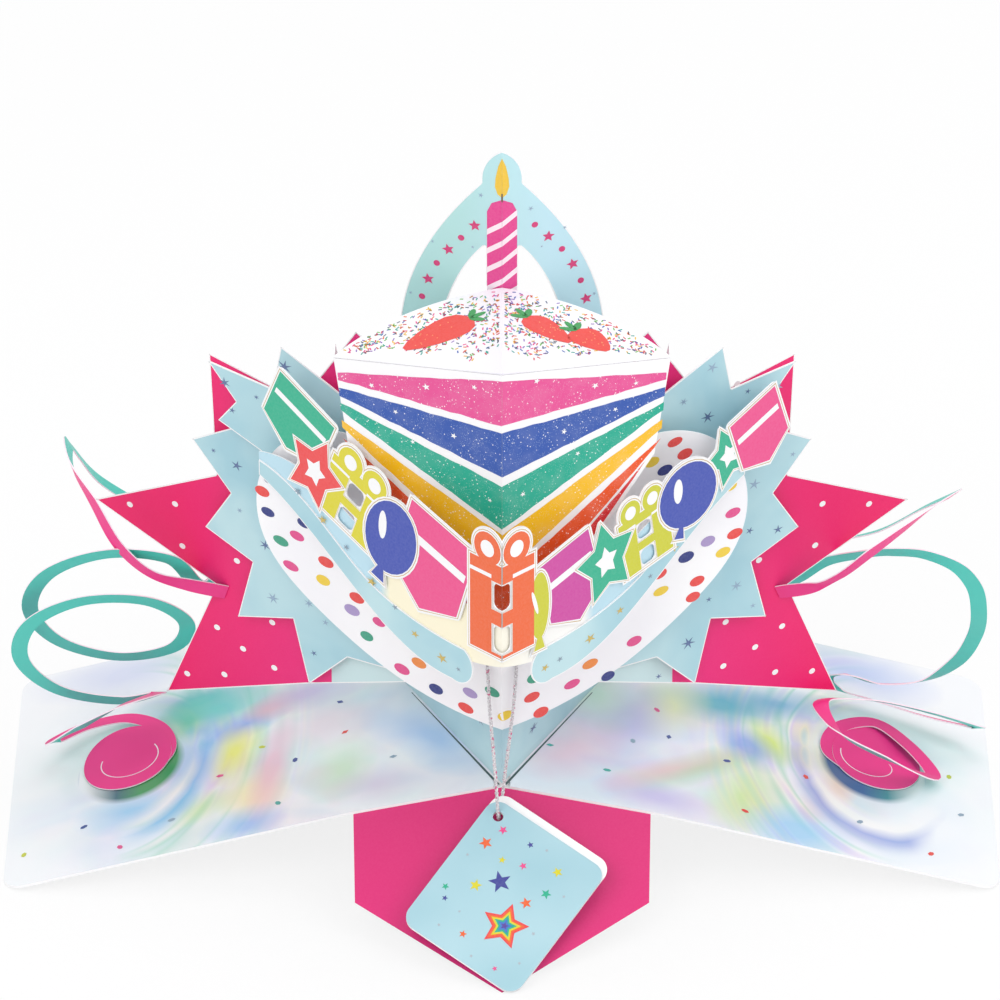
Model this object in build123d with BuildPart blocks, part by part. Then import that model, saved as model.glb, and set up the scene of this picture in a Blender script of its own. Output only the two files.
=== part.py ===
from build123d import *
import os
from math import atan2, cos, pi, radians, sin, tan

os.makedirs("parts", exist_ok=True)

# The open card stands like a low roof. Its fold runs back along +Y, the viewer is at -Y.
BOARD_REACH = 151.0
CARD_DEPTH = 122.0
FOLD_HEIGHT = 38.2
BOARD_THICK = 0.8
BOARD_CORNER = 7.0
BEND_AT = 45.7
BEND_DROP = 9.7
FOLD_GAP = 5.0
SPINE_WIDTH = 28.0

# Die cut sheets
CARD = 0.4
GLUE = 0.05
TOUCH = 0.2
TAB = 10.0

# Front foot, a folded pentagon that slopes from the fold down to the table
FOOT_REACH = 55.0
FOOT_KNEE_OUT = 44.0
FOOT_KNEE_FORWARD = 24.0
FOOT_CORNER_SHORT = 1.0

# Everything in front of the fold's front end has a smaller y than this
FOLD_FRONT = (FOOT_REACH - CARD_DEPTH) / 2

# Upright sheets: how far their own fold stands behind the card's front edge, and their sweep
SUPPORT_SWEEP = 66.6
SUPPORT_OUT = 36.0
SUPPORT_TOP = 150.0
SUPPORT_TAIL = 58.0
PINK_SWEEP = 33.0
PINK_SPAN = 124.0
PINK_TOP = 178.0
BLUE_GAP = 1.0
BLUE_SWEEP = 31.0
BLUE_SPAN = 93.0
BLUE_TOP = 145.0
UPPER_GAP = 1.0
UPPER_SWEEP = 29.0
UPPER_SPAN = 87.5
UPPER_TOP = 172.0
PLATE_GAP = 1.0
PLATE_SWEEP = 24.0
PLATE_SPAN = 73.0
PLATE_TOP = 151.0

# Cake wedge
CAKE_FORWARD = 22.0
CAKE_SWEEP = 30.0
CAKE_HALF = 49.2
CAKE_FOOT_HALF = 44.7
CAKE_PROW_TOP = 191.0
CAKE_CORNER_TOP = 181.0
CAKE_CORNER_FOOT = 150.5
CAKE_TIP = 89.7
CAKE_TOP_DEPTH = 52.0
CAKE_FLAP = 9.0

# Candle and arch
ARCH_SWEEP = 20.0
ARCH_HALF = 30.0
ARCH_TOP = 236.5
ARCH_FOOT = 125.0
CANDLE_WIDTH = 10.0

# Banner
BANNER_FORWARD = 42.0
BANNER_SWEEP = 44.0
BANNER_HALF = 86.0
BANNER_TOP = 168.0
CHARM_CORNER = 2.0
RIBBON_GAP = 0.6

# Springs
STRIP_WIDTH = 5.0
STRIP_THICK = 0.4
DISC_RADIUS = 14.0
DISC_OUT = 115.0
DISC_BACK = 58.0
SPRING_HEIGHT = 105.0
SPRING_END_OUT = 83.5
SPRING_END_HEIGHT = 73.4
COIL_RADIUS = 25.0
STATIONS_PER_SPAN = 3

# Booklet and twine
BOOKLET_WIDTH = 41.5
BOOKLET_LENGTH = 51.0
BOOKLET_CORNER = 4.5
BOOKLET_TURN = 35.5
BOOKLET_LIFT = 3.6
BOOKLET_ASIDE = 1.4
BOOKLET_SHORT = 2.7
BOOKLET_AIR = 0.5
HOLE_RADIUS = 1.6
HOLE_INSET = 4.6
TWINE_RADIUS = 0.6

BEND_HEIGHT = FOLD_HEIGHT - BEND_DROP
PINK_FOLD = 0.0
BLUE_FOLD = PINK_FOLD - BLUE_GAP
UPPER_FOLD = BLUE_FOLD - UPPER_GAP
PLATE_FOLD = UPPER_FOLD - PLATE_GAP
SUPPORT_FOLD = PINK_FOLD + CARD / cos(radians(PINK_SWEEP)) + GLUE
ARCH_FOLD = CAKE_TOP_DEPTH - CAKE_FORWARD + TOUCH


def board_height(x):
    """Height of a board's upper face at a distance x from the fold."""
    if x < BEND_AT:
        return FOLD_HEIGHT - BEND_DROP * x / BEND_AT
    return BEND_HEIGHT - (BEND_HEIGHT - BOARD_THICK) * (x - BEND_AT) / (BOARD_REACH - BEND_AT)


def wing(fold, sweep):
    """Upright plane of a right-hand wing. Local x runs outward from the fold, local y is height."""
    angle = radians(sweep)
    out = (cos(angle), sin(angle), 0)
    return Plane(origin=(0, FOLD_FRONT + fold, 0), x_dir=out, z_dir=(sin(angle), -cos(angle), 0))


def on_wing(shares, half, top, sweep):
    """Outline points of a wing from shares of its half width and its top height."""
    return [(x * half / cos(radians(sweep)), z * top) for x, z in shares]


def facet(corners):
    """Plane through three corners, its x along the first edge, with the corners in its own axes."""
    start, second, third = (Vector(*corner) for corner in corners[:3])
    along = second - start
    plane = Plane(origin=start, x_dir=along, z_dir=along.cross(third - start))
    local = [plane.to_local_coords(Vector(*corner)) for corner in corners]
    return plane, [(point.X, point.Y) for point in local]


# Boards: two stiff boards with a slight bend, rounded at their outer corners
front_plane = Plane.XZ.offset(-FOLD_FRONT)
with BuildPart() as right_board:
    with BuildSketch(front_plane):
        with BuildLine():
            inner = FOLD_GAP / 2
            Polyline(
                (inner, board_height(inner)),
                (BEND_AT, BEND_HEIGHT),
                (BOARD_REACH, BOARD_THICK),
                (BOARD_REACH, 0),
                (BEND_AT, BEND_HEIGHT - BOARD_THICK),
                (inner, board_height(inner) - BOARD_THICK),
                close=True,
            )
        make_face()
    extrude(amount=-CARD_DEPTH)
    with BuildSketch():
        with BuildLine():
            back = FOLD_FRONT + CARD_DEPTH
            outline = FilletPolyline(
                (0, FOLD_FRONT),
                (BOARD_REACH, FOLD_FRONT),
                (BOARD_REACH, back),
                (0, back),
                radius=BOARD_CORNER,
            )
            Line(outline @ 1, outline @ 0)
        make_face()
    extrude(amount=FOLD_HEIGHT, mode=Mode.INTERSECT)
right_board.part.label = "right_board"
export_step(right_board.part, "parts/right_board.step")

with BuildPart() as left_board:
    mirror(right_board.part, about=Plane.YZ)
left_board.part.label = "left_board"
export_step(left_board.part, "parts/left_board.step")

# Spine strip: the cover sheet that hinges the boards, glued under their inner edges
with BuildPart() as spine_strip:
    with BuildSketch(front_plane.offset(-TAB - TOUCH)):
        with BuildLine():
            half = SPINE_WIDTH / 2
            under = BOARD_THICK + GLUE
            Polyline(
                (-half, board_height(half) - under),
                (0, FOLD_HEIGHT - under),
                (half, board_height(half) - under),
                (half, board_height(half) - under - CARD),
                (0, FOLD_HEIGHT - under - CARD),
                (-half, board_height(half) - under - CARD),
                close=True,
            )
        make_face()
    extrude(amount=-(CARD_DEPTH - TAB - TOUCH))
spine_strip.part.label = "spine_strip"
export_step(spine_strip.part, "parts/spine_strip.step")

# Front foot: one folded pentagon with a glue tab under each board
foot_top = FOLD_HEIGHT - BOARD_THICK - GLUE
foot_side = BEND_HEIGHT - BOARD_THICK - GLUE
fall_out = (foot_top - foot_side) / BEND_AT
fall_forward = foot_top / FOOT_REACH
foot_knee_height = foot_top - fall_out * FOOT_KNEE_OUT - fall_forward * FOOT_KNEE_FORWARD
corner_out = BEND_AT - FOOT_CORNER_SHORT
corner_height = foot_top - fall_out * corner_out
foot_plane, foot_outline = facet(
    [
        (0, FOLD_FRONT, foot_top),
        (0, FOLD_FRONT - FOOT_REACH, 0),
        (FOOT_KNEE_OUT, FOLD_FRONT - FOOT_KNEE_FORWARD, foot_knee_height),
        (corner_out, FOLD_FRONT, corner_height),
    ]
)
with BuildPart() as front_foot:
    with BuildSketch(foot_plane):
        with BuildLine():
            Polyline(*foot_outline, close=True)
        make_face()
    extrude(amount=-CARD)
    with BuildSketch(front_plane):
        with BuildLine():
            Polyline(
                (0, foot_top),
                (corner_out, corner_height),
                (corner_out, corner_height - CARD),
                (0, foot_top - CARD),
                close=True,
            )
        make_face()
    extrude(amount=-TAB)
    split(bisect_by=Plane.YZ, keep=Keep.TOP)
    split(bisect_by=Plane.XY, keep=Keep.TOP)
    mirror(about=Plane.YZ)
front_foot.part.label = "front_foot"
export_step(front_foot.part, "parts/front_foot.step")

# Centre support: the narrow wedge that stands on both boards and carries the upright sheets
support_plane = wing(SUPPORT_FOLD, SUPPORT_SWEEP)
support_reach = SUPPORT_OUT / cos(radians(SUPPORT_SWEEP))
with BuildPart() as centre_support:
    with BuildSketch(support_plane):
        with BuildLine():
            Polyline(
                (0, FOLD_HEIGHT + TOUCH),
                (support_reach, board_height(SUPPORT_OUT) + TOUCH),
                (support_reach, SUPPORT_TAIL),
                (support_reach / 2, SUPPORT_TOP),
                (0, SUPPORT_TOP),
                close=True,
            )
        make_face()
    extrude(amount=-CARD)
    split(bisect_by=Plane.YZ, keep=Keep.TOP)
    mirror(about=Plane.YZ)
centre_support.part.label = "centre_support"
export_step(centre_support.part, "parts/centre_support.step")

# Pink star, the rear burst
PINK_SHARES = (
    (0, 0.84), (0.347, 1), (0.483, 0.833), (0.706, 0.869), (0.694, 0.637), (1, 0.51),
    (0.699, 0.42), (0.831, 0.171), (0.476, 0.284), (0, 0.42),
)
with BuildPart() as pink_star:
    with BuildSketch(wing(PINK_FOLD, PINK_SWEEP)):
        with BuildLine():
            Polyline(*on_wing(PINK_SHARES, PINK_SPAN, PINK_TOP, PINK_SWEEP), close=True)
        make_face()
    extrude(amount=-CARD)
    split(bisect_by=Plane.YZ, keep=Keep.TOP)
    mirror(about=Plane.YZ)
pink_star.part.label = "pink_star"
export_step(pink_star.part, "parts/pink_star.step")

# Blue star, the lower pale burst in front of the pink one
BLUE_SHARES = (
    (0, 1), (0.645, 0.966), (0.806, 0.952), (1, 0.872), (0.876, 0.77), (0.963, 0.67),
    (0.808, 0.62), (0.86, 0.476), (0.677, 0.513), (0.628, 0.366), (0.5, 0.46), (0, 0.47),
)
with BuildPart() as blue_star:
    with BuildSketch(wing(BLUE_FOLD, BLUE_SWEEP)):
        with BuildLine():
            Polyline(*on_wing(BLUE_SHARES, BLUE_SPAN, BLUE_TOP, BLUE_SWEEP), close=True)
        make_face()
    extrude(amount=-CARD)
    split(bisect_by=Plane.YZ, keep=Keep.TOP)
    mirror(about=Plane.YZ)
blue_star.part.label = "blue_star"
export_step(blue_star.part, "parts/blue_star.step")

# Upper star, the smaller pale burst whose points stand beside the cake
UPPER_SHARES = (
    (0, 0.87), (0.34, 1), (0.55, 0.925), (0.747, 0.985), (0.777, 0.897), (1, 0.918),
    (0.905, 0.852), (0.968, 0.806), (0.8, 0.762), (0.6, 0.6), (0, 0.5),
)
with BuildPart() as upper_star:
    with BuildSketch(wing(UPPER_FOLD, UPPER_SWEEP)):
        with BuildLine():
            Polyline(*on_wing(UPPER_SHARES, UPPER_SPAN, UPPER_TOP, UPPER_SWEEP), close=True)
        make_face()
    extrude(amount=-CARD)
    split(bisect_by=Plane.YZ, keep=Keep.TOP)
    mirror(about=Plane.YZ)
upper_star.part.label = "upper_star"
export_step(upper_star.part, "parts/upper_star.step")

# Dotted plate under the cake, round below and cut lower at its shoulders
PLATE_SIDE_SHARES = ((0, 0.394), (0.385, 0.45), (0.747, 0.573), (0.952, 0.69), (1, 0.82))
PLATE_SHOULDER_SHARES = ((1, 0.82), (0.94, 0.905), (0.63, 0.99))
with BuildPart() as dotted_plate:
    with BuildSketch(wing(PLATE_FOLD, PLATE_SWEEP)):
        with BuildLine():
            side = on_wing(PLATE_SIDE_SHARES, PLATE_SPAN, PLATE_TOP, PLATE_SWEEP)
            shoulder = on_wing(PLATE_SHOULDER_SHARES, PLATE_SPAN, PLATE_TOP, PLATE_SWEEP)
            Spline(*side)
            ThreePointArc(*shoulder)
            Polyline(shoulder[-1], (0, PLATE_TOP), side[0])
        make_face()
    extrude(amount=-CARD)
    split(bisect_by=Plane.YZ, keep=Keep.TOP)
    mirror(about=Plane.YZ)
dotted_plate.part.label = "dotted_plate"
export_step(dotted_plate.part, "parts/dotted_plate.step")

# Cake sides: two striped faces that meet at the prow, with return flaps back to the upper star
cake_fold = -CAKE_FORWARD
cake_stretch = 1 / cos(radians(CAKE_SWEEP))
cake_corner_y = FOLD_FRONT + cake_fold + CAKE_HALF * tan(radians(CAKE_SWEEP))
cake_foot_y = FOLD_FRONT + cake_fold + CAKE_FOOT_HALF * tan(radians(CAKE_SWEEP))
flap_back_y = FOLD_FRONT + UPPER_FOLD + CAKE_FOOT_HALF * tan(radians(UPPER_SWEEP)) - TOUCH - CARD
flap_plane, flap_outline = facet(
    [
        (CAKE_FOOT_HALF, cake_foot_y, CAKE_CORNER_FOOT),
        (CAKE_HALF, cake_corner_y, CAKE_CORNER_TOP),
        (CAKE_HALF, cake_corner_y + CAKE_FLAP, CAKE_CORNER_TOP),
        (CAKE_FOOT_HALF, flap_back_y, CAKE_CORNER_FOOT + CAKE_FLAP),
        (CAKE_FOOT_HALF, flap_back_y, CAKE_CORNER_FOOT),
    ]
)
with BuildPart() as cake_sides:
    with BuildSketch(wing(cake_fold, CAKE_SWEEP)):
        with BuildLine():
            Polyline(
                (0, CAKE_PROW_TOP),
                (CAKE_HALF * cake_stretch, CAKE_CORNER_TOP),
                (CAKE_FOOT_HALF * cake_stretch, CAKE_CORNER_FOOT),
                (0, CAKE_TIP),
                close=True,
            )
        make_face()
    extrude(amount=-CARD)
    with BuildSketch(flap_plane):
        with BuildLine():
            Polyline(*flap_outline, close=True)
        make_face()
    extrude(amount=CARD)
    split(bisect_by=Plane.YZ, keep=Keep.TOP)
    mirror(about=Plane.YZ)
cake_sides.part.label = "cake_sides"
export_step(cake_sides.part, "parts/cake_sides.step")

# Cake top: a shallow roof with a straight ridge and a rounded back edge
TOP_BULGE_SHARES = (0.6, 0.88)
top_fall = (CAKE_PROW_TOP - CAKE_CORNER_TOP) / CAKE_HALF
top_ridge = CAKE_PROW_TOP + CARD + TOUCH
top_corner = (CAKE_HALF, cake_corner_y, top_ridge - top_fall * CAKE_HALF)
bulge_out = CAKE_HALF * TOP_BULGE_SHARES[0]
top_bulge = (
    bulge_out,
    FOLD_FRONT + cake_fold + CAKE_TOP_DEPTH * TOP_BULGE_SHARES[1],
    top_ridge - top_fall * bulge_out,
)
top_plane, top_outline = facet(
    [
        (0, FOLD_FRONT + cake_fold, top_ridge),
        top_corner,
        top_bulge,
        (0, FOLD_FRONT + cake_fold + CAKE_TOP_DEPTH, top_ridge),
    ]
)
with BuildPart() as cake_top:
    with BuildSketch(top_plane):
        with BuildLine():
            Line(top_outline[0], top_outline[1])
            ThreePointArc(*top_outline[1:])
            Line(top_outline[3], top_outline[0])
        make_face()
    extrude(amount=-CARD)
    split(bisect_by=Plane.YZ, keep=Keep.TOP)
    mirror(about=Plane.YZ)
cake_top.part.label = "cake_top"
export_step(cake_top.part, "parts/cake_top.step")

# Candle arch: an arch with a flame bump and the candle across its opening, on two legs
BUMP_SHARES = ((0, 1), (0.14, 0.984), (0.2, 0.952))
ARCH_OUTER_SHARES = ((0.2, 0.952), (0.44, 0.914), (0.78, 0.842), (1, 0.74))
ARCH_INNER_SHARES = ((0.58, 0.76), (0.48, 0.8), (0.36, 0.832), (0.18, 0.864))
arch_stretch = 1 / cos(radians(ARCH_SWEEP))
candle_half = CANDLE_WIDTH / 2
leg_meets = (ARCH_FOLD - SUPPORT_FOLD) / (tan(radians(SUPPORT_SWEEP)) - tan(radians(ARCH_SWEEP)))
leg_inner = (leg_meets + CARD + TOUCH) * arch_stretch
leg_width = ARCH_HALF * arch_stretch - leg_inner
bump = on_wing(BUMP_SHARES, ARCH_HALF, ARCH_TOP, ARCH_SWEEP)
arch_outer = on_wing(ARCH_OUTER_SHARES, ARCH_HALF, ARCH_TOP, ARCH_SWEEP)
arch_inner = on_wing(ARCH_INNER_SHARES, ARCH_HALF, ARCH_TOP, ARCH_SWEEP)
with BuildPart() as candle_arch:
    with BuildSketch(wing(ARCH_FOLD, ARCH_SWEEP)):
        with BuildLine():
            ThreePointArc(*bump)
            Spline(*arch_outer)
            Polyline(
                arch_outer[-1],
                (leg_inner + leg_width * 2 / 3, ARCH_FOOT),
                (leg_inner, ARCH_FOOT),
                (leg_inner, SUPPORT_TOP),
                arch_inner[0],
            )
            Spline(*arch_inner)
            Polyline(
                arch_inner[-1],
                (candle_half, arch_inner[-1][1]),
                (candle_half, top_ridge),
                (0, top_ridge),
                bump[0],
            )
        make_face()
    extrude(amount=-CARD)
    split(bisect_by=Plane.YZ, keep=Keep.TOP)
    mirror(about=Plane.YZ)
candle_arch.part.label = "candle_arch"
export_step(candle_arch.part, "parts/candle_arch.step")

# Cream ribbon, the plain inner strip behind the banner
ribbon_fold = -BANNER_FORWARD + RIBBON_GAP
cream_fold = ribbon_fold + RIBBON_GAP
CREAM_TOP_SHARES = ((0, 0.72), (0.25, 0.715), (0.42, 0.74), (0.6, 0.8), (0.84, 0.815))
CREAM_FOOT_SHARES = ((0.84, 0.79), (0.6, 0.7), (0.36, 0.62), (0, 0.62))
with BuildPart() as cream_ribbon:
    with BuildSketch(wing(cream_fold, BANNER_SWEEP)):
        with BuildLine():
            cream_top = on_wing(CREAM_TOP_SHARES, BANNER_HALF, BANNER_TOP, BANNER_SWEEP)
            cream_foot = on_wing(CREAM_FOOT_SHARES, BANNER_HALF, BANNER_TOP, BANNER_SWEEP)
            Spline(*cream_top)
            Line(cream_top[-1], cream_foot[0])
            Spline(*cream_foot)
            Line(cream_foot[-1], cream_top[0])
        make_face()
    extrude(amount=-CARD)
    split(bisect_by=Plane.YZ, keep=Keep.TOP)
    mirror(about=Plane.YZ)
cream_ribbon.part.label = "cream_ribbon"
export_step(cream_ribbon.part, "parts/cream_ribbon.step")

# Starry ribbons, one on each side, with rounded ends towards the middle
STAR_TOP_SHARES = ((0.13, 0.62), (0.3, 0.63), (0.45, 0.66), (0.62, 0.735), (0.84, 0.8))
STAR_FOOT_SHARES = ((0.84, 0.77), (0.65, 0.7), (0.5, 0.63), (0.36, 0.575), (0.17, 0.548))
STAR_END_SHARES = ((0.17, 0.548), (0.1, 0.58), (0.13, 0.62))
with BuildPart() as right_ribbon:
    with BuildSketch(wing(ribbon_fold, BANNER_SWEEP)):
        with BuildLine():
            star_top = on_wing(STAR_TOP_SHARES, BANNER_HALF, BANNER_TOP, BANNER_SWEEP)
            star_foot = on_wing(STAR_FOOT_SHARES, BANNER_HALF, BANNER_TOP, BANNER_SWEEP)
            star_end = on_wing(STAR_END_SHARES, BANNER_HALF, BANNER_TOP, BANNER_SWEEP)
            Spline(*star_top)
            Line(star_top[-1], star_foot[0])
            Spline(*star_foot)
            ThreePointArc(*star_end)
        make_face()
    extrude(amount=-CARD)
right_ribbon.part.label = "right_ribbon"
export_step(right_ribbon.part, "parts/right_ribbon.step")

with BuildPart() as left_ribbon:
    mirror(right_ribbon.part, about=Plane.YZ)
left_ribbon.part.label = "left_ribbon"
export_step(left_ribbon.part, "parts/left_ribbon.step")


def pennant(width, height):
    """Shield-shaped flag with its point down."""
    with BuildSketch() as shape:
        with BuildLine():
            Polyline(
                (-width / 2, height / 2),
                (width / 2, height / 2),
                (width / 2, -height / 4),
                (0, -height / 2),
                (-width / 2, -height / 4),
                close=True,
            )
        make_face()
        fillet(shape.vertices(), radius=CHARM_CORNER)
    return shape.sketch


def balloon(width, height):
    """Oval balloon with a small knot under it."""
    knot = height / 8
    with BuildSketch() as shape:
        with Locations((0, knot / 2)):
            Ellipse(width / 2, height / 2 - knot / 2)
        with BuildLine():
            Polyline((0, knot - height / 3), (knot, -height / 2), (-knot, -height / 2), close=True)
        make_face()
    return shape.sketch


def star(width, height):
    """Five-pointed star with blunted points."""
    outer = [(sin(k * pi / 5), cos(k * pi / 5)) for k in range(10)]
    reach = [1 if k % 2 == 0 else STAR_WAIST_SHARE for k in range(10)]
    with BuildSketch() as shape:
        with BuildLine():
            Polyline(
                *[(x * r * width / 2, z * r * height / 2) for (x, z), r in zip(outer, reach)],
                close=True,
            )
        make_face()
        fillet(shape.vertices(), radius=CHARM_CORNER / 2)
    return shape.sketch


def present(width, height):
    """Wrapped box with two bow loops above it and two windows in it."""
    box = height * PRESENT_BOX_SHARE
    pane = width / 4
    bow = width * BOW_SHARE
    with BuildSketch() as shape:
        with Locations((0, (box - height) / 2)):
            RectangleRounded(width, box, CHARM_CORNER)
        with Locations((-width / 5, height / 2 - bow), (width / 5, height / 2 - bow)):
            Circle(bow)
        with Locations((0, -height / 3), (0, 0)):
            RectangleRounded(pane, height / 5, CHARM_CORNER, mode=Mode.SUBTRACT)
    return shape.sketch


# Banner: one folded sheet of joined party shapes, cut as a chain that hangs in a deep curve
STAR_WAIST_SHARE = 0.55
PRESENT_BOX_SHARE = 0.78
BOW_SHARE = 0.24
# Each shape: maker, places and sizes as shares of the banner's half width and top height, and its tilt
RIGHT_CHARM_SHARES = (
    (balloon, 0.125, 0.702, 0.088, 0.172, 0),
    (pennant, 0.236, 0.722, 0.2, 0.183, 15),
    (star, 0.354, 0.735, 0.235, 0.187, 10),
    (present, 0.487, 0.762, 0.192, 0.169, 10),
    (balloon, 0.633, 0.779, 0.222, 0.164, -15),
    (star, 0.78, 0.828, 0.19, 0.15, 20),
    (pennant, 0.893, 0.84, 0.19, 0.154, 20),
)
LEFT_CHARM_SHARES = (
    (pennant, 0.24, 0.754, 0.25, 0.217, -18),
    (balloon, 0.383, 0.765, 0.194, 0.193, -20),
    (present, 0.502, 0.826, 0.222, 0.183, -22),
    (star, 0.64, 0.835, 0.22, 0.175, -25),
    (pennant, 0.703, 0.913, 0.23, 0.148, -25),
)
CENTRE_CHARM_SHARES = (0.236, 0.257, 0.762)


def charm_wing(rows, side):
    """Sketch of one wing of the banner, with the centre shape at the fold. Side is 1 or -1."""
    stretch = BANNER_HALF / cos(radians(BANNER_SWEEP))
    width, height, middle = CENTRE_CHARM_SHARES
    with BuildSketch() as shape:
        with Locations((0, middle * BANNER_TOP)):
            add(present(width * stretch, height * BANNER_TOP))
        for maker, x, z, wide, tall, tilt in rows:
            with Locations(Location((side * x * stretch, z * BANNER_TOP, 0), (0, 0, tilt))):
                add(maker(wide * stretch, tall * BANNER_TOP))
    return shape.sketch


banner_plane = wing(-BANNER_FORWARD, BANNER_SWEEP)
left_banner_plane = wing(-BANNER_FORWARD, -BANNER_SWEEP)
left_charms = charm_wing(LEFT_CHARM_SHARES, -1)
right_charms = charm_wing(RIGHT_CHARM_SHARES, 1)
with BuildPart() as left_wing:
    with BuildSketch(left_banner_plane):
        add(left_charms)
    extrude(amount=-CARD)
    split(bisect_by=Plane.YZ, keep=Keep.BOTTOM)
with BuildPart() as banner:
    with BuildSketch(banner_plane):
        add(right_charms)
    extrude(amount=-CARD)
    split(bisect_by=Plane.YZ, keep=Keep.TOP)
    add(left_wing.part)
banner.part.label = "banner"
export_step(banner.part, "parts/banner.step")


def board_side(side):
    """Outward-leaning direction square to the outer board on one side."""
    slope = atan2(BEND_HEIGHT - BOARD_THICK, BOARD_REACH - BEND_AT)
    return (side * sin(slope), 0, cos(slope))


def spring_route(shares, side):
    """Places of a spring's strip as shares of its height, from the middle of its disc."""
    return [
        (
            side * (DISC_OUT + x * SPRING_HEIGHT),
            FOLD_FRONT + DISC_BACK + y * SPRING_HEIGHT,
            board_height(DISC_OUT) + z * SPRING_HEIGHT,
        )
        for x, y, z in shares
    ]


def strip_planes(route, faces):
    """Cross-section planes along a smooth route, the strip's face turned to each direction in turn."""
    with BuildLine() as path:
        Spline(*route)
    line = path.line.edge()
    marks = [line.param_at_point(Vector(*point)) for point in route]
    planes = []
    last_span = len(route) - 2
    for k in range((last_span + 1) * STATIONS_PER_SPAN + 1):
        span = min(k // STATIONS_PER_SPAN, last_span)
        blend = k / STATIONS_PER_SPAN - span
        place = marks[span] + (marks[span + 1] - marks[span]) * blend
        heading = (line % place).normalized()
        face = Vector(*faces[span]) * (1 - blend) + Vector(*faces[span + 1]) * blend
        face = (face - heading * face.dot(heading)).normalized()
        planes.append(Plane(origin=line @ place, x_dir=face.cross(heading), z_dir=heading))
    return planes


def turned(directions, side):
    """The same face directions for the spring on one side."""
    return [(side * x, y, z) for x, y, z in directions]


# Springs: each peels off a round disc glued on its board, coils up and ends on the pink star
EDGE_ON = (0, 0.5, 0.866)
COIL_FACE = (0, 0.866, 0.5)
ARM_FACE = (0.3, 0.8, 0.5)
TIP_FACE = (0.85, 0.15, 0.5)
FRONT_FACE = (0.5, -0.6, 0.6)
STAR_FACE = (sin(radians(PINK_SWEEP)), -cos(radians(PINK_SWEEP)), 0)
star_gap = STRIP_THICK / 2 + TOUCH
spring_end = Vector(
    SPRING_END_OUT,
    FOLD_FRONT + PINK_FOLD + SPRING_END_OUT * tan(radians(PINK_SWEEP)),
    SPRING_END_HEIGHT,
) + Vector(*STAR_FACE) * star_gap

LEFT_LOW_SHARES = (
    (-0.116, 0, 0.036), (-0.087, 0.128, 0.038), (0.003, 0.201, 0.026), (0.124, 0.167, 0.021),
    (0.225, 0.076, 0.021), (0.139, 0, 0.12), (0.019, 0, 0.192), (-0.09, 0.076, 0.192),
)
COIL_FOOT_SHARES = (0.085, 0.038, 0.318)
COIL_HEAD_SHARES = (0.021, 0.038, 0.588)
COIL_START = -75
COIL_END = -720
COIL_STEPS = 14
LEFT_TOP_SHARES = (
    (-0.267, 0.153, 0.573), (-0.183, 0.248, 0.631), (-0.038, 0.285, 0.705), (0.075, 0.267, 0.8),
    (0.139, 0.171, 0.949), (0.153, 0.076, 1.028), (0.139, -0.019, 1.012), (0.08, -0.076, 0.931),
    (0.001, -0.096, 0.783), (-0.086, -0.076, 0.685), (-0.188, -0.048, 0.633),
)
coil_foot, coil_head = spring_route((COIL_FOOT_SHARES, COIL_HEAD_SHARES), -1)
coil_up = (0, -COIL_FACE[2], COIL_FACE[1])
left_coil = []
for k in range(COIL_STEPS + 1):
    risen = k / COIL_STEPS
    turn = radians(COIL_START + (COIL_END - COIL_START) * risen)
    centre = Vector(*coil_foot) * (1 - risen) + Vector(*coil_head) * risen
    left_coil.append(centre + Vector(cos(turn), sin(turn) * coil_up[1], sin(turn) * coil_up[2]) * COIL_RADIUS)
left_end = Vector(-spring_end.X, spring_end.Y, spring_end.Z)
left_points = spring_route(LEFT_LOW_SHARES, -1) + left_coil + spring_route(LEFT_TOP_SHARES, -1) + [left_end]
left_faces = (
    [board_side(1)] * 5
    + [EDGE_ON] * 3
    + [COIL_FACE] * (COIL_STEPS + 3)
    + [ARM_FACE] * 3
    + [TIP_FACE]
    + [FRONT_FACE] * 4
    + [STAR_FACE] * 2
)

RIGHT_SHARES = (
    (-0.135, -0.01, 0.04), (-0.099, 0.124, 0.044), (-0.004, 0.171, 0.031), (0.098, 0.076, 0.012),
    (0.167, -0.057, -0.012), (0.015, -0.128, 0.097), (-0.129, -0.114, 0.19), (-0.166, -0.038, 0.22),
    (-0.043, 0.058, 0.179), (0.169, 0.115, 0.098), (0.31, 0.171, 0.012), (0.189, 0.219, 0.012),
    (0.008, 0.257, 0.053), (-0.11, 0.267, 0.093), (-0.14, 0.242, 0.14), (-0.096, 0.214, 0.171),
    (0.021, 0.21, 0.14), (0.149, 0.201, 0.159), (0.241, 0.171, 0.242), (0.285, 0.115, 0.359),
    (0.291, 0.038, 0.493), (0.268, -0.019, 0.615), (0.212, -0.057, 0.7), (0.119, -0.057, 0.74),
    (0.024, -0.024, 0.728), (-0.066, 0.047, 0.676), (-0.158, 0.115, 0.613), (-0.238, 0.181, 0.516),
    (-0.29, 0.257, 0.45), (-0.257, 0.305, 0.464), (-0.133, 0.333, 0.544), (0.014, 0.324, 0.598),
    (0.136, 0.276, 0.702), (0.209, 0.181, 0.798), (0.212, 0.086, 0.858), (0.156, -0.01, 0.879),
    (0.065, -0.085, 0.847), (-0.035, -0.124, 0.785), (-0.125, -0.1, 0.692), (-0.191, -0.062, 0.635),
)
right_points = spring_route(RIGHT_SHARES, 1) + [spring_end]
right_faces = (
    [board_side(1)] * 5
    + [EDGE_ON] * 13
    + [COIL_FACE] * 13
    + [ARM_FACE] * 2
    + [TIP_FACE] * 2
    + [FRONT_FACE] * 4
    + [STAR_FACE] * 2
)


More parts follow.
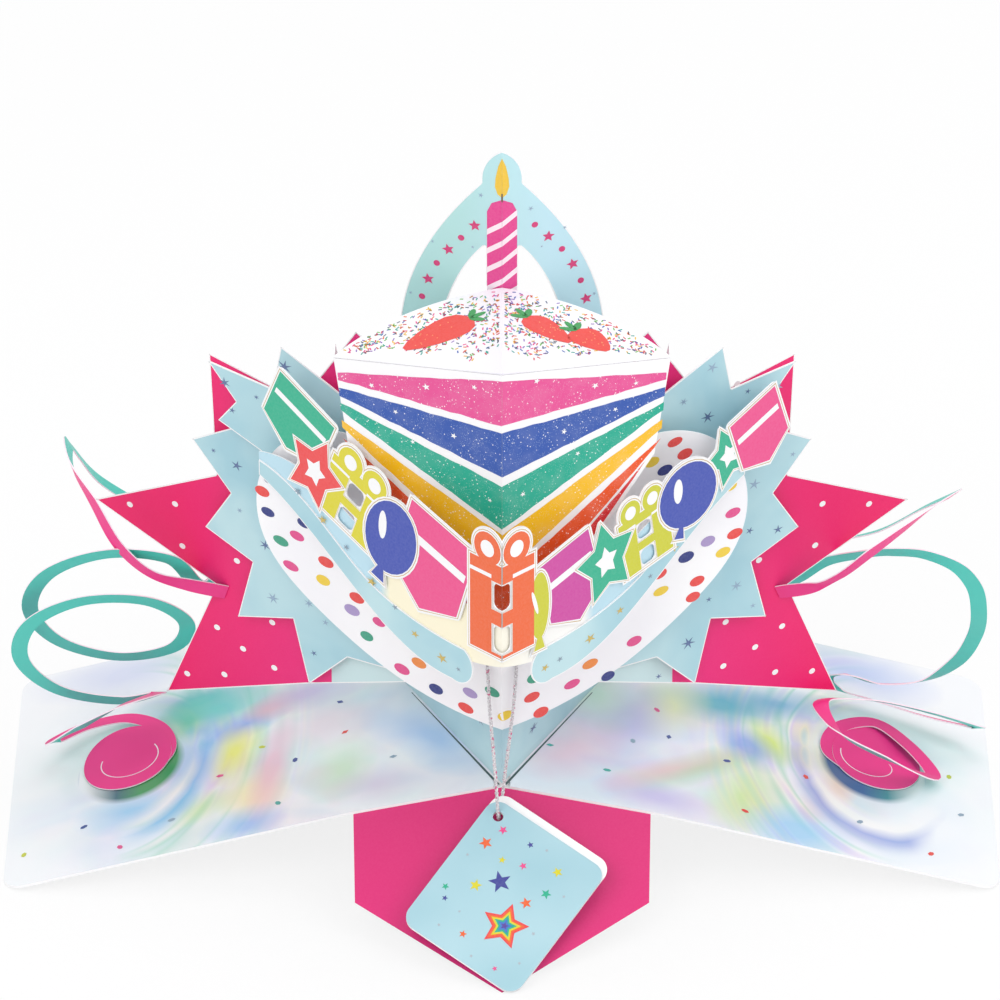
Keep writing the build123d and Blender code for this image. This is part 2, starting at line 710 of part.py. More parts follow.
def disc_plane(side):
    """Place of a spring's disc on the outer board."""
    seat = Vector(side * DISC_OUT, FOLD_FRONT + DISC_BACK, board_height(DISC_OUT))
    return Plane(origin=seat + Vector(*board_side(side)) * TOUCH, x_dir=(0, 1, 0), z_dir=board_side(side))


with BuildPart() as left_spring:
    for plane in strip_planes(left_points, turned(left_faces, -1)):
        with BuildSketch(plane):
            Rectangle(STRIP_WIDTH, STRIP_THICK)
    loft(ruled=True)
    with BuildSketch(disc_plane(-1)):
        Circle(DISC_RADIUS)
    extrude(amount=STRIP_THICK)
left_spring.part.label = "left_spring"
export_step(left_spring.part, "parts/left_spring.step")

with BuildPart() as right_spring:
    for plane in strip_planes(right_points, right_faces):
        with BuildSketch(plane):
            Rectangle(STRIP_WIDTH, STRIP_THICK)
    loft(ruled=True)
    with BuildSketch(disc_plane(1)):
        Circle(DISC_RADIUS)
    extrude(amount=STRIP_THICK)
right_spring.part.label = "right_spring"
export_step(right_spring.part, "parts/right_spring.step")

# Booklet: a folded sheet that leans on the foot's tip and hangs from the twine by its top corner
booklet_rise = FOLD_HEIGHT + BOOKLET_LIFT
booklet_slope = atan2(booklet_rise, FOOT_REACH)
rest = CARD + TOUCH
booklet_foot = Vector(BOOKLET_ASIDE, FOLD_FRONT - FOOT_REACH, rest)
up_slope = Vector(0, cos(booklet_slope), sin(booklet_slope))
slope_face = Vector(0, -sin(booklet_slope), cos(booklet_slope))
turn = radians(BOOKLET_TURN)
half_tall = (BOOKLET_WIDTH * sin(turn) + BOOKLET_LENGTH * cos(turn)) / 2
corner_cut = BOOKLET_CORNER / 2
booklet_middle = booklet_foot + up_slope * (half_tall - corner_cut)
booklet_across = Vector(cos(turn), 0, 0) - up_slope * sin(turn)
booklet_plane = Plane(origin=booklet_middle, x_dir=booklet_across, z_dir=slope_face)
hole_at = (HOLE_INSET - BOOKLET_WIDTH / 2, BOOKLET_LENGTH / 2 - HOLE_INSET - BOOKLET_SHORT)
with BuildPart() as message_booklet:
    with BuildSketch(booklet_plane):
        RectangleRounded(BOOKLET_WIDTH, BOOKLET_LENGTH, BOOKLET_CORNER)
        with Locations(hole_at):
            Circle(HOLE_RADIUS, mode=Mode.SUBTRACT)
    extrude(amount=CARD)
    with BuildSketch(booklet_plane.offset(CARD + BOOKLET_AIR)):
        with Locations((0, -BOOKLET_SHORT / 2)):
            RectangleRounded(BOOKLET_WIDTH, BOOKLET_LENGTH - BOOKLET_SHORT, BOOKLET_CORNER)
        with Locations(hole_at):
            Circle(HOLE_RADIUS, mode=Mode.SUBTRACT)
    extrude(amount=CARD)
    with BuildSketch(booklet_plane.offset(CARD)):
        with Locations((0, (CARD - BOOKLET_LENGTH) / 2)):
            Rectangle(BOOKLET_WIDTH - BOOKLET_CORNER * 2, CARD)
    extrude(amount=BOOKLET_AIR)
message_booklet.part.label = "message_booklet"
export_step(message_booklet.part, "parts/message_booklet.step")

# Twine: one loop from two holes in the plate, through the booklet's hole and round its top corner
TWINE_ROUTE = [
    (-4.4, -35.25, 84.0),
    (-4.1, -37.0, 74.0),
    (-3.4, -39.0, 64.0),
    (-2.5, -41.4, 54.0),
    (-1.9, -43.6, 46.5),
    (-1.5, -44.9, 40.8),
    (-1.3, -45.2, 36.5),
    (-1.1, -44.2, 32.4),
    (-0.7, -42.0, 33.2),
    (-0.1, -39.2, 36.0),
    (0.5, -36.8, 39.8),
    (1.0, -36.1, 45.2),
    (2.0, -36.8, 54.0),
    (3.0, -37.5, 64.0),
    (3.9, -37.0, 74.0),
    (4.4, -35.25, 84.0),
]


def bend_radii(route, reach):
    """Largest tangent arc at each corner that leaves its two runs a short straight each."""
    radii = []
    for before, at, after in zip(route, route[1:], route[2:]):
        arrive = Vector(*at) - Vector(*before)
        leave = Vector(*after) - Vector(*at)
        turned_by = radians(arrive.get_angle(leave))
        radii.append(reach * min(arrive.length, leave.length) / tan(turned_by / 2))
    return radii


ARC_REACH_SHARE = 0.45
twine_radii = bend_radii(TWINE_ROUTE, ARC_REACH_SHARE)
print("twine radii", [round(radius, 1) for radius in twine_radii])
with BuildPart() as twine:
    with BuildLine() as twine_path:
        FilletPolyline(*TWINE_ROUTE, radius=twine_radii)
    with BuildSketch(Plane(origin=twine_path.line @ 0, z_dir=twine_path.line % 0)):
        Circle(TWINE_RADIUS)
    sweep(path=twine_path.line)
twine_length = sum(edge.length for edge in twine_path.edges())
print("twine volume", twine.part.volume, "section times length", pi * TWINE_RADIUS**2 * twine_length)
twine.part.label = "twine"
export_step(twine.part, "parts/twine.step")
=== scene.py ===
import math
import random

import bmesh
import bpy
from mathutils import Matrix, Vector


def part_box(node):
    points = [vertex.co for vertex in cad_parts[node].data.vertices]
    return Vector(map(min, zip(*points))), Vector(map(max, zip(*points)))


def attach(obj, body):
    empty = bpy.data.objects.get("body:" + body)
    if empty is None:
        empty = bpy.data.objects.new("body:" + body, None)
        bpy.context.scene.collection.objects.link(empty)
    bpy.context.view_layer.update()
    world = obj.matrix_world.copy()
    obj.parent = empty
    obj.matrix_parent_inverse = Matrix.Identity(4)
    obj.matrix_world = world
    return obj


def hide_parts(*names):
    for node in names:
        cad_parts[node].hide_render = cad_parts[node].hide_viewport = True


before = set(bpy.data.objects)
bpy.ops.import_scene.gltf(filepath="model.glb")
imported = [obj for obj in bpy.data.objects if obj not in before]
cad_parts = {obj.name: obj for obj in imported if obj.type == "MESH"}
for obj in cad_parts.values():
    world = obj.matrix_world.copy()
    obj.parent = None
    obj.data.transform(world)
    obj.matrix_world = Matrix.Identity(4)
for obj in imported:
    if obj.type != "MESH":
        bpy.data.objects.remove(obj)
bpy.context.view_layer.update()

# The table and the light
# A plain pale table top under a bright room, lit by two broad soft lamps and an even sky,
# so that printed colours show about as they are written.
MM = 0.001
TABLE_SIZE = 8.0
TABLE_COLOUR = (0.93, 0.93, 0.935, 1)
SKY_LIGHT = 0.68
TABLE_GLOW = 0.8
LAMP_AIM = Vector((0, 0, 0.1))
LAMPS = (
    ("front_lamp", (-1.1, -1.9, 2.1), 1.8, 22.0),
    ("side_lamp", (1.6, -1.0, 1.9), 1.6, 16.0),
    ("top_lamp", (0.1, 0.3, 2.4), 1.6, 9.0),
)


class Value:
    """A shader socket that takes part in sums written as Python expressions."""

    def __init__(self, tree, socket):
        self.tree = tree
        self.socket = socket

    def sum(self, operation, *terms, clamp=False):
        node = self.tree.nodes.new("ShaderNodeMath")
        node.operation = operation
        node.use_clamp = clamp
        for slot, term in zip(node.inputs, terms):
            if isinstance(term, Value):
                self.tree.links.new(term.socket, slot)
            else:
                slot.default_value = term
        return Value(self.tree, node.outputs[0])

    def __add__(self, other):
        return self.sum("ADD", self, other)

    def __radd__(self, other):
        return self.sum("ADD", other, self)

    def __sub__(self, other):
        return self.sum("SUBTRACT", self, other)

    def __rsub__(self, other):
        return self.sum("SUBTRACT", other, self)

    def __mul__(self, other):
        return self.sum("MULTIPLY", self, other)

    def __rmul__(self, other):
        return self.sum("MULTIPLY", other, self)

    def __truediv__(self, other):
        return self.sum("DIVIDE", self, other)

    def __gt__(self, other):
        return self.sum("GREATER_THAN", self, other)

    def __lt__(self, other):
        return self.sum("LESS_THAN", self, other)

    def size(self):
        return self.sum("ABSOLUTE", self)

    def sign(self):
        return self.sum("SIGN", self)

    def ramp(self, low, high):
        """0 below low, 1 above high, and a straight blend between."""
        return self.sum("MULTIPLY", self - low, 1 / (high - low), clamp=True)


class Finish:
    """A material under construction, with one Principled surface."""

    def __init__(self, name, roughness=0.55, **settings):
        self.material = bpy.data.materials.new(name)
        self.material.use_nodes = True
        self.tree = self.material.node_tree
        self.surface = self.tree.nodes["Principled BSDF"]
        self.surface.inputs["Roughness"].default_value = roughness
        for label, value in settings.items():
            self.surface.inputs[label.replace("_", " ")].default_value = value

    def node(self, kind, settings=None, **sockets):
        """Adds a node, sets it up, and feeds its sockets with numbers, colours or links."""
        node = self.tree.nodes.new("ShaderNode" + kind)
        for label, value in (settings or {}).items():
            if label == "stops":
                ramp = node.color_ramp
                while len(ramp.elements) > 1:
                    ramp.elements.remove(ramp.elements[0])
                for place, colour in value:
                    stop = ramp.elements.new(place)
                    stop.color = colour
                ramp.elements.remove(ramp.elements[0])
            else:
                setattr(node, label, value)
        for label, value in sockets.items():
            slot = node.inputs[label.replace("_", " ")]
            if isinstance(value, Value):
                self.tree.links.new(value.socket, slot)
            else:
                slot.default_value = value
        return node

    def out(self, node, label=0):
        return Value(self.tree, node.outputs[label])

    def coordinates(self, kind="Object"):
        return self.out(self.node("TexCoord"), kind)

    def place(self):
        """Object coordinates in millimetres, as three numbers x, y and z."""
        parts = self.node("SeparateXYZ", Vector=self.coordinates())
        return tuple(self.out(parts, axis) * 1000 for axis in "XYZ")

    def facing(self):
        """The surface's own direction as three numbers."""
        parts = self.node("SeparateXYZ", Vector=self.coordinates("Normal"))
        return tuple(self.out(parts, axis) for axis in "XYZ")

    def noise(self, scale, detail=2.0, distortion=0.0, seed=0.0):
        """Soft noise on Object coordinates, scale in cycles per metre, another pattern for each seed."""
        sockets = {"Vector": self.coordinates(), "Scale": scale, "Detail": detail, "Distortion": distortion}
        return self.out(self.node("TexNoise", {"noise_dimensions": "4D"}, W=seed, **sockets))

    def specks(self, scale, reach):
        """1 inside small round specks scattered on the surface, reach as a share of their spacing."""
        cells = self.node("TexVoronoi", Vector=self.coordinates(), Scale=scale)
        return self.out(cells, "Distance") < reach

    def ramp_tone(self, share, *stops):
        """Colour along a ramp of places and screen colours."""
        settings = {"stops": tuple((place, colour(*screen)) for place, screen in stops)}
        return self.out(self.node("ValToRGB", settings, Fac=share), "Color")

    def ink(self):
        """The colour that comes with each printed or painted face."""
        return self.out(self.node("Attribute", {"attribute_name": "ink"}), "Color")

    def mix(self, mask, colour_off, colour_on):
        """Blends two colours by a mask."""
        blend = self.node("Mix", {"data_type": "RGBA"})
        for index, value in ((0, mask), (6, colour_off), (7, colour_on)):
            if isinstance(value, Value):
                self.tree.links.new(value.socket, blend.inputs[index])
            else:
                blend.inputs[index].default_value = value
        return Value(self.tree, blend.outputs[2])

    def feed(self, label, value):
        self.tree.links.new(value.socket, self.surface.inputs[label])

    def grain(self, scale, strength, distance=0.00004):
        """Fine bump of paper fibre or film."""
        bump = self.node("Bump", Height=self.noise(scale, 3.0), Strength=strength, Distance=distance)
        self.feed("Normal", self.out(bump, "Normal"))


def colour(red, green, blue):
    """A screen colour of 0 to 255 parts as the linear colour that renders like it."""
    parts = []
    for part in (red, green, blue):
        share = part / 255
        parts.append(share / 12.92 if share <= 0.04045 else ((share + 0.055) / 1.055) ** 2.4)
    return (*parts, 1)


def finished_mesh(name, bm):
    """The mesh of a finished bmesh."""
    mesh = bpy.data.meshes.new(name)
    bm.to_mesh(mesh)
    bm.free()
    return mesh


WHITE = colour(250, 250, 251)

table_bm = bmesh.new()
bmesh.ops.create_grid(table_bm, x_segments=1, y_segments=1, size=TABLE_SIZE / 2)
table = bpy.data.objects.new("table", finished_mesh("table", table_bm))
bpy.context.collection.objects.link(table)
table_finish = Finish("table_top", roughness=0.9, Base_Color=TABLE_COLOUR)
rays = table_finish.node("LightPath")
camera_ray, glossy_ray = (table_finish.out(rays, label) for label in ("Is Camera Ray", "Is Glossy Ray"))
table_mask = camera_ray.sum("MAXIMUM", camera_ray, glossy_ray) * TABLE_GLOW
glow = table_finish.node("Emission", Color=(1, 1, 1, 1), Strength=1.0)
seen = table_finish.node("MixShader")
table_surface = table_finish.tree.nodes["Material Output"].inputs["Surface"]
for source, slot in (
    (table_mask.socket, seen.inputs[0]), (table_finish.surface.outputs[0], seen.inputs[1]),
    (glow.outputs[0], seen.inputs[2]), (seen.outputs[0], table_surface),
):
    table_finish.tree.links.new(source, slot)
table.data.materials.append(table_finish.material)

world = bpy.data.worlds.new("room")
bpy.context.scene.world = world
world.use_nodes = True
sky = world.node_tree
sky_path = sky.nodes.new("ShaderNodeLightPath")
sky_strength = sky.nodes.new("ShaderNodeMix")
sky_strength.inputs[2].default_value = SKY_LIGHT
sky_strength.inputs[3].default_value = 1.0
sky.links.new(sky_path.outputs["Is Camera Ray"], sky_strength.inputs[0])
sky.links.new(sky_strength.outputs[0], sky.nodes["Background"].inputs["Strength"])
sky.nodes["Background"].inputs["Color"].default_value = (1, 1, 1, 1)

for lamp_name, lamp_place, lamp_size, lamp_power in LAMPS:
    light = bpy.data.lights.new(lamp_name, "AREA")
    light.size = lamp_size
    light.energy = lamp_power
    lamp = bpy.data.objects.new(lamp_name, light)
    lamp.location = lamp_place
    lamp.rotation_euler = (LAMP_AIM - Vector(lamp_place)).to_track_quat("-Z", "Y").to_euler()
    bpy.context.collection.objects.link(lamp)

bpy.context.scene.view_settings.view_transform = "Standard"

# The camera
# It looks along the card's fold from 30 degrees above the table, from about 2.4 m away, and the
# fold's front end is seen at the named pixel of the 1000 by 1000 picture.
IMAGE_SIZE = 1000
FOLD_PIXEL = (502, 785)
CAMERA_TILT = math.radians(30)
CAMERA_DISTANCE = 2.4
PIXEL_SIZE = 0.3 * MM
SENSOR = 36
FOLD_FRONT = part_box("left_board")[0].y
FOLD_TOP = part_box("spine_strip")[1].z + 0.85 * MM
look = Vector((0, math.cos(CAMERA_TILT), -math.sin(CAMERA_TILT)))
camera_up = Vector((0, math.sin(CAMERA_TILT), math.cos(CAMERA_TILT)))
fold_end = Vector((0, FOLD_FRONT, FOLD_TOP))
picture_middle = (
    fold_end
    + camera_up * (FOLD_PIXEL[1] - IMAGE_SIZE / 2) * PIXEL_SIZE
    - Vector((FOLD_PIXEL[0] - IMAGE_SIZE / 2, 0, 0)) * PIXEL_SIZE
)
camera_place = picture_middle - look * CAMERA_DISTANCE
camera_data = bpy.data.cameras.new("camera")
camera_data.sensor_width = SENSOR
camera_data.lens = SENSOR * CAMERA_DISTANCE / (PIXEL_SIZE * IMAGE_SIZE)
camera_data.clip_end = 50
camera = bpy.data.objects.new("camera", camera_data)
camera.location = camera_place
camera.rotation_euler = look.to_track_quat("-Z", "Y").to_euler()
bpy.context.collection.objects.link(camera)
bpy.context.scene.camera = camera

# Twine
# One loop of thin two-ply twine, silver and white with pink flecks. Both its ends go into holes
# in the plate, and its bight goes through the booklet's hole and round the booklet's corner.
TWINE_ROUTE = [
    (-4.4, -35.25, 84.0),
    (-4.1, -37.0, 74.0),
    (-3.4, -39.0, 64.0),
    (-2.5, -41.4, 54.0),
    (-1.9, -43.6, 46.5),
    (-1.5, -44.9, 40.8),
    (-1.3, -45.2, 36.5),
    (-1.1, -44.2, 32.4),
    (-0.7, -42.0, 33.2),
    (-0.1, -39.2, 36.0),
    (0.5, -36.8, 39.8),
    (1.0, -36.1, 45.2),
    (2.0, -36.8, 54.0),
    (3.0, -37.5, 64.0),
    (3.9, -37.0, 74.0),
    (4.4, -35.25, 84.0),
]
PLY_RADIUS = 0.34 * MM
PLY_OFFSET = 0.26 * MM
TWINE_PITCH = 2.6 * MM
PLY_STEPS = 8


def curve_object(name, kind, places):
    """A curve object of one spline with the given points, in metres."""
    data = bpy.data.curves.new(name, "CURVE")
    data.dimensions = "3D"
    spline = data.splines.new(kind)
    spline.points.add(len(places) - 1)
    for point, place in zip(spline.points, places):
        point.co = (*place, 1)
    return bpy.data.objects.new(name, data)


def cord_points(name, route):
    """Points read along a cord's own smooth line, which has the route's points as its control points."""
    line = curve_object(name, "NURBS", [Vector(place) * MM for place in route])
    line.data.resolution_u = 24
    line.data.splines[0].order_u = 3
    line.data.splines[0].use_endpoint_u = True
    mesh = bpy.data.meshes.new_from_object(line)
    places = [vert.co.copy() for vert in mesh.vertices]
    bpy.data.meshes.remove(mesh)
    bpy.data.objects.remove(line)
    return places


def even_points(places, gap):
    """The same line with points a fixed distance apart."""
    even = [places[0]]
    left = gap
    for start, end in zip(places, places[1:]):
        run = (end - start).length
        while run >= left:
            start = start.lerp(end, left / run)
            even.append(start)
            run = (end - start).length
            left = gap
        left -= run
    even.append(places[-1])
    return even


def twisted_ply(path, offset, pitch, start):
    """Centre line of one ply that winds round a path."""
    side = Vector((1, 0, 0))
    places = []
    travelled = 0
    for k, point in enumerate(path):
        ahead = path[min(k + 1, len(path) - 1)] - path[max(k - 1, 0)]
        ahead.normalize()
        side = (side - ahead * side.dot(ahead)).normalized()
        turn = start + travelled / pitch * 2 * math.pi
        places.append(point + (side * math.cos(turn) + ahead.cross(side) * math.sin(turn)) * offset)
        if k + 1 < len(path):
            travelled += (path[k + 1] - point).length
    return places


def tube_mesh(name, places, radius):
    """Round tube along a list of places."""
    carrier = curve_object(name, "POLY", places)
    data = carrier.data
    data.bevel_depth = radius
    data.bevel_resolution = 1
    data.use_fill_caps = True
    mesh = bpy.data.meshes.new_from_object(carrier)
    bpy.data.objects.remove(carrier)
    bpy.data.curves.remove(data)
    return mesh


def piece(name, mesh, finish):
    """Puts a finished mesh in the scene as a piece of the card."""
    made = bpy.data.objects.new(name, mesh)
    bpy.context.collection.objects.link(made)
    mesh.materials.clear()
    mesh.materials.append(finish.material)
    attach(made, "root")
    return made


twine_path = even_points(cord_points("twine_line", TWINE_ROUTE), TWINE_PITCH / PLY_STEPS)
twine_bm = bmesh.new()
for ply_start in (0, math.pi):
    ply_mesh = tube_mesh("ply", twisted_ply(twine_path, PLY_OFFSET, TWINE_PITCH, ply_start), PLY_RADIUS)
    twine_bm.from_mesh(ply_mesh)
    bpy.data.meshes.remove(ply_mesh)
for face in twine_bm.faces:
    face.smooth = True
twine_finish = Finish("twine_fibre", roughness=0.45)
fibre = twine_finish.noise(2600, 3.0)
fleck = twine_finish.noise(900, 1.0).ramp(0.6, 0.66)
twine_tone = twine_finish.mix(fibre.ramp(0.35, 0.65), colour(176, 168, 176), colour(250, 249, 250))
twine_finish.feed("Base Color", twine_finish.mix(fleck, twine_tone, colour(214, 96, 140)))
twine_finish.grain(5200, 0.5)
twine = piece("twine_plies", finished_mesh("twine_plies", twine_bm), twine_finish)
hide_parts("twine")
sum((b - a).length for a, b in zip(twine_path, twine_path[1:]))

# Boards
# Two stiff boards laminated with an iridescent film that throws soft pastel colours, strongest
# round the discs. Their cut edges and undersides are plain white, and flecks are printed on top.
BOARD_REACH = 151
BEND_AT = 45.7
BEND_DROP = 9.7
FOLD_HEIGHT = 38.2
BOARD_THICK = 0.8
DISC_OUT = 115
DISC_PLACE = 24.5
PRINT_LIFT = 0.05
FILM_BASE = colour(246, 249, 252)
FILM_HEART = (66, 14, 74, 66)
FILM_TINTS = (
    (colour(150, 206, 240), 24, 0.54, 3.1, 0.4),
    (colour(180, 236, 222), 28, 0.56, 7.7, 0.35),
    (colour(214, 196, 240), 26, 0.55, 1.9, 0.45),
    (colour(248, 208, 222), 30, 0.57, 5.3, 0.35),
)
FILM_GLOWS = (
    (
        ((84, 176, 190), 94, 52, 17, 9, -10, 0.85), ((70, 186, 130), 97, 40, 8, 12, 25, 0.75),
        ((106, 214, 212), 86, 44, 11, 11, 20, 0.8), ((104, 172, 240), 93, 20, 8, 15, 15, 0.8),
        ((122, 160, 236), 79, 31, 10, 5, -30, 0.8), ((246, 190, 190), 71, 38, 7, 5, -30, 0.75),
        ((240, 240, 110), 82, 16, 6, 12, 10, 0.9), ((250, 246, 190), 76, -10, 7, 10, 0, 0.8),
        ((248, 190, 212), 70, 4, 4, 20, 8, 0.7), ((200, 236, 150), 97, -12, 10, 6, -20, 0.7),
        ((120, 200, 244), 112, -5, 12, 8, 0, 0.65), ((150, 196, 246), 78, -28, 9, 7, 0, 0.75),
        ((206, 190, 232), 60, 42, 12, 7, 0, 0.75), ((232, 210, 222), 54, 22, 10, 12, 0, 0.6),
        ((206, 240, 196), 48, -8, 8, 13, 0, 0.65), ((152, 196, 246), 22, 2, 8, 20, -35, 0.7),
        ((232, 208, 234), 38, -20, 10, 9, 0, 0.6), ((206, 216, 244), 118, 78, 18, 10, 0, 0.7),
    ),
    (
        ((92, 186, 206), 67, 38, 16, 8, 15, 0.9), ((84, 166, 210), 86, 46, 14, 7, 10, 0.75),
        ((150, 214, 140), 60, -2, 5, 22, -45, 0.6), ((218, 236, 110), 82, 22, 5, 9, 20, 0.85),
        ((122, 150, 230), 75, 17, 6, 10, 25, 0.75), ((206, 238, 150), 73, -12, 8, 16, -10, 0.75),
        ((140, 204, 246), 89, -26, 11, 9, 0, 0.7), ((246, 246, 186), 52, 30, 8, 13, -15, 0.75),
        ((196, 184, 236), 38, 18, 9, 15, -20, 0.7), ((248, 200, 214), 21, -6, 8, 16, -30, 0.6),
        ((200, 190, 240), 46, -24, 12, 7, 0, 0.7), ((250, 190, 200), 52, -6, 4, 20, -50, 0.5),
        ((204, 240, 206), 30, 28, 8, 13, 0, 0.6), ((236, 226, 130), 101, 16, 3, 9, 20, 0.6),
        ((250, 196, 170), 100, 0, 5, 12, -20, 0.6), ((186, 204, 244), 110, 76, 18, 11, 0, 0.85),
    ),
)
RING_REACH = (23, 41)
RING_TINTS = ((136, 196, 242), (150, 166, 226))
RING_OUTS = (118, 133)
RING_HUES = ((0.38, (246, 250, 252)), (0.56, (250, 250, 250)), (0.8, (246, 249, 252)))
ARC_HUES = (
    (0.3, (130, 176, 236)), (0.4, (240, 248, 252)), (0.46, (160, 222, 190)), (0.52, (250, 250, 240)),
    (0.58, (226, 200, 238)), (0.66, (248, 232, 190)), (0.74, (110, 196, 220)),
)
# Painted reflection and shadow: a dark crescent of blue, teal and green on the film just in front of each
# disc.
REFLECTION_REACH = (15.2, 18.6)
REFLECTION_FORWARD = 3.4
DISC_REFLECTION_HUES = (
    ((0.0, (110, 200, 90)), (0.35, (30, 146, 60)), (0.6, (44, 96, 110)), (1.0, (80, 120, 190))),
    ((0.0, (48, 60, 180)), (0.35, (30, 84, 150)), (0.6, (30, 130, 140)), (1.0, (150, 190, 230))),
)
FLECK_SIZE = (2.6, 1.7)
FLECKS = (
    ((196, 205, 60), ((-145.4, -16.2), (-73.5, 15.6), (137.9, 25.4))),
    ((60, 80, 150), ((-127.4, -7.8), (-63.1, 3.7), (-49.8, 31.9), (51.0, 11.9), (68.7, 5.5))),
    ((226, 80, 140), ((-115.7, -24.0), (-86.1, 4.2), (47.6, 26.2))),
    ((60, 170, 160), ((-67.8, -19.0), (31.8, -14.2), (14.6, -5.7))),
    ((228, 70, 60), ((-48.0, 13.5), (92.9, 6.5), (130.1, -21.9), (73.5, -21.1))),
    ((140, 165, 185), ((140.6, 4.6), (39.9, 5.3), (-100.3, -15.0), (108.8, -12.6), (-33.0, -6.0))),
)


def board_top(x, y, lift=0.0):
    """A point of the boards' upper face, from x and y in millimetres."""
    out = abs(x)
    if out < BEND_AT:
        height = FOLD_HEIGHT - BEND_DROP * out / BEND_AT
    else:
        fall = (FOLD_HEIGHT - BEND_DROP - BOARD_THICK) / (BOARD_REACH - BEND_AT)
        height = FOLD_HEIGHT - BEND_DROP - fall * (out - BEND_AT)
    return Vector((x, y, height + lift)) * MM


def oval(wide, tall, tilt=0.0, corners=20):
    """Outline of an oval about its middle."""
    angles = [2 * math.pi * k / corners for k in range(corners)]
    places = [(math.cos(angle) * wide / 2, math.sin(angle) * tall / 2) for angle in angles]
    return turned(places, math.radians(tilt))


def turned(outline, turn):
    """The same outline turned about its middle."""
    return [
        (across * math.cos(turn) - up * math.sin(turn), across * math.sin(turn) + up * math.cos(turn))
        for across, up in outline
    ]


def star_outline(reach, points=5, waist=0.45, tilt=0.0):
    """Outline of a star about its middle, its waist as a share of its reach."""
    places = []
    for k in range(points * 2):
        angle = math.pi * k / points + math.radians(tilt)
        out = reach if k % 2 == 0 else reach * waist
        places.append((math.sin(angle) * out, math.cos(angle) * out))
    return places


def moved(outline, across, up):
    """The same outline about another middle."""
    return [(x + across, z + up) for x, z in outline]


class Print:
    """Printed shapes on one surface, laid on it as a very thin layer of ink."""

    def __init__(self, surface):
        self.surface = surface
        self.bm = bmesh.new()
        self.ink = self.bm.loops.layers.float_color.new("ink")

    def shape(self, outline, ink, lift=PRINT_LIFT):
        """Adds one shape from its outline on the surface, turned to the viewer."""
        face = self.bm.faces.new([self.bm.verts.new(self.surface(x, z, lift)) for x, z in outline])
        face.normal_update()
        if face.normal.dot(look) > 0:
            face.normal_flip()
        for loop in face.loops:
            loop[self.ink] = ink

    def stars(self, places, ink, waist, turns, lift=PRINT_LIFT):
        """Adds five-pointed stars from their places and reaches, each turned at random."""
        for x, z, reach in places:
            self.shape(moved(star_outline(reach, 5, waist, random.uniform(*turns)), x, z), ink, lift)

    def finished(self, name, finish):
        """Makes the shapes a piece of the card."""
        bmesh.ops.triangulate(self.bm, faces=self.bm.faces[:])
        return piece(name, finished_mesh(name, self.bm), finish)


def ink_finish(name, roughness=0.45, **settings):
    """Printing ink whose colour comes with each shape, slightly uneven as on fibrous card."""
    finish = Finish(name, roughness, **settings)
    uneven = finish.noise(1400, 3.0).ramp(0.3, 0.75) * 0.05
    finish.feed("Base Color", finish.mix(uneven, finish.ink(), (1, 1, 1, 1)))
    return finish


def dress(node, finish):
    """Gives a CAD node its material."""
    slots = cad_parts[node].data.materials
    slots.clear()
    slots.append(finish.material)


def film_oval(x, y, out_middle, back_middle, out_reach, back_reach, turn=0.0):
    """How far a place is from the middle of an oval, 1 on its edge."""
    away_out, away_back = x.size() - out_middle, y - back_middle
    turn = math.radians(turn)
    across = (away_out * math.cos(turn) + away_back * math.sin(turn)) / out_reach
    along = (away_back * math.cos(turn) - away_out * math.sin(turn)) / back_reach
    squares = across * across + along * along
    return squares.sum("SQRT", squares)


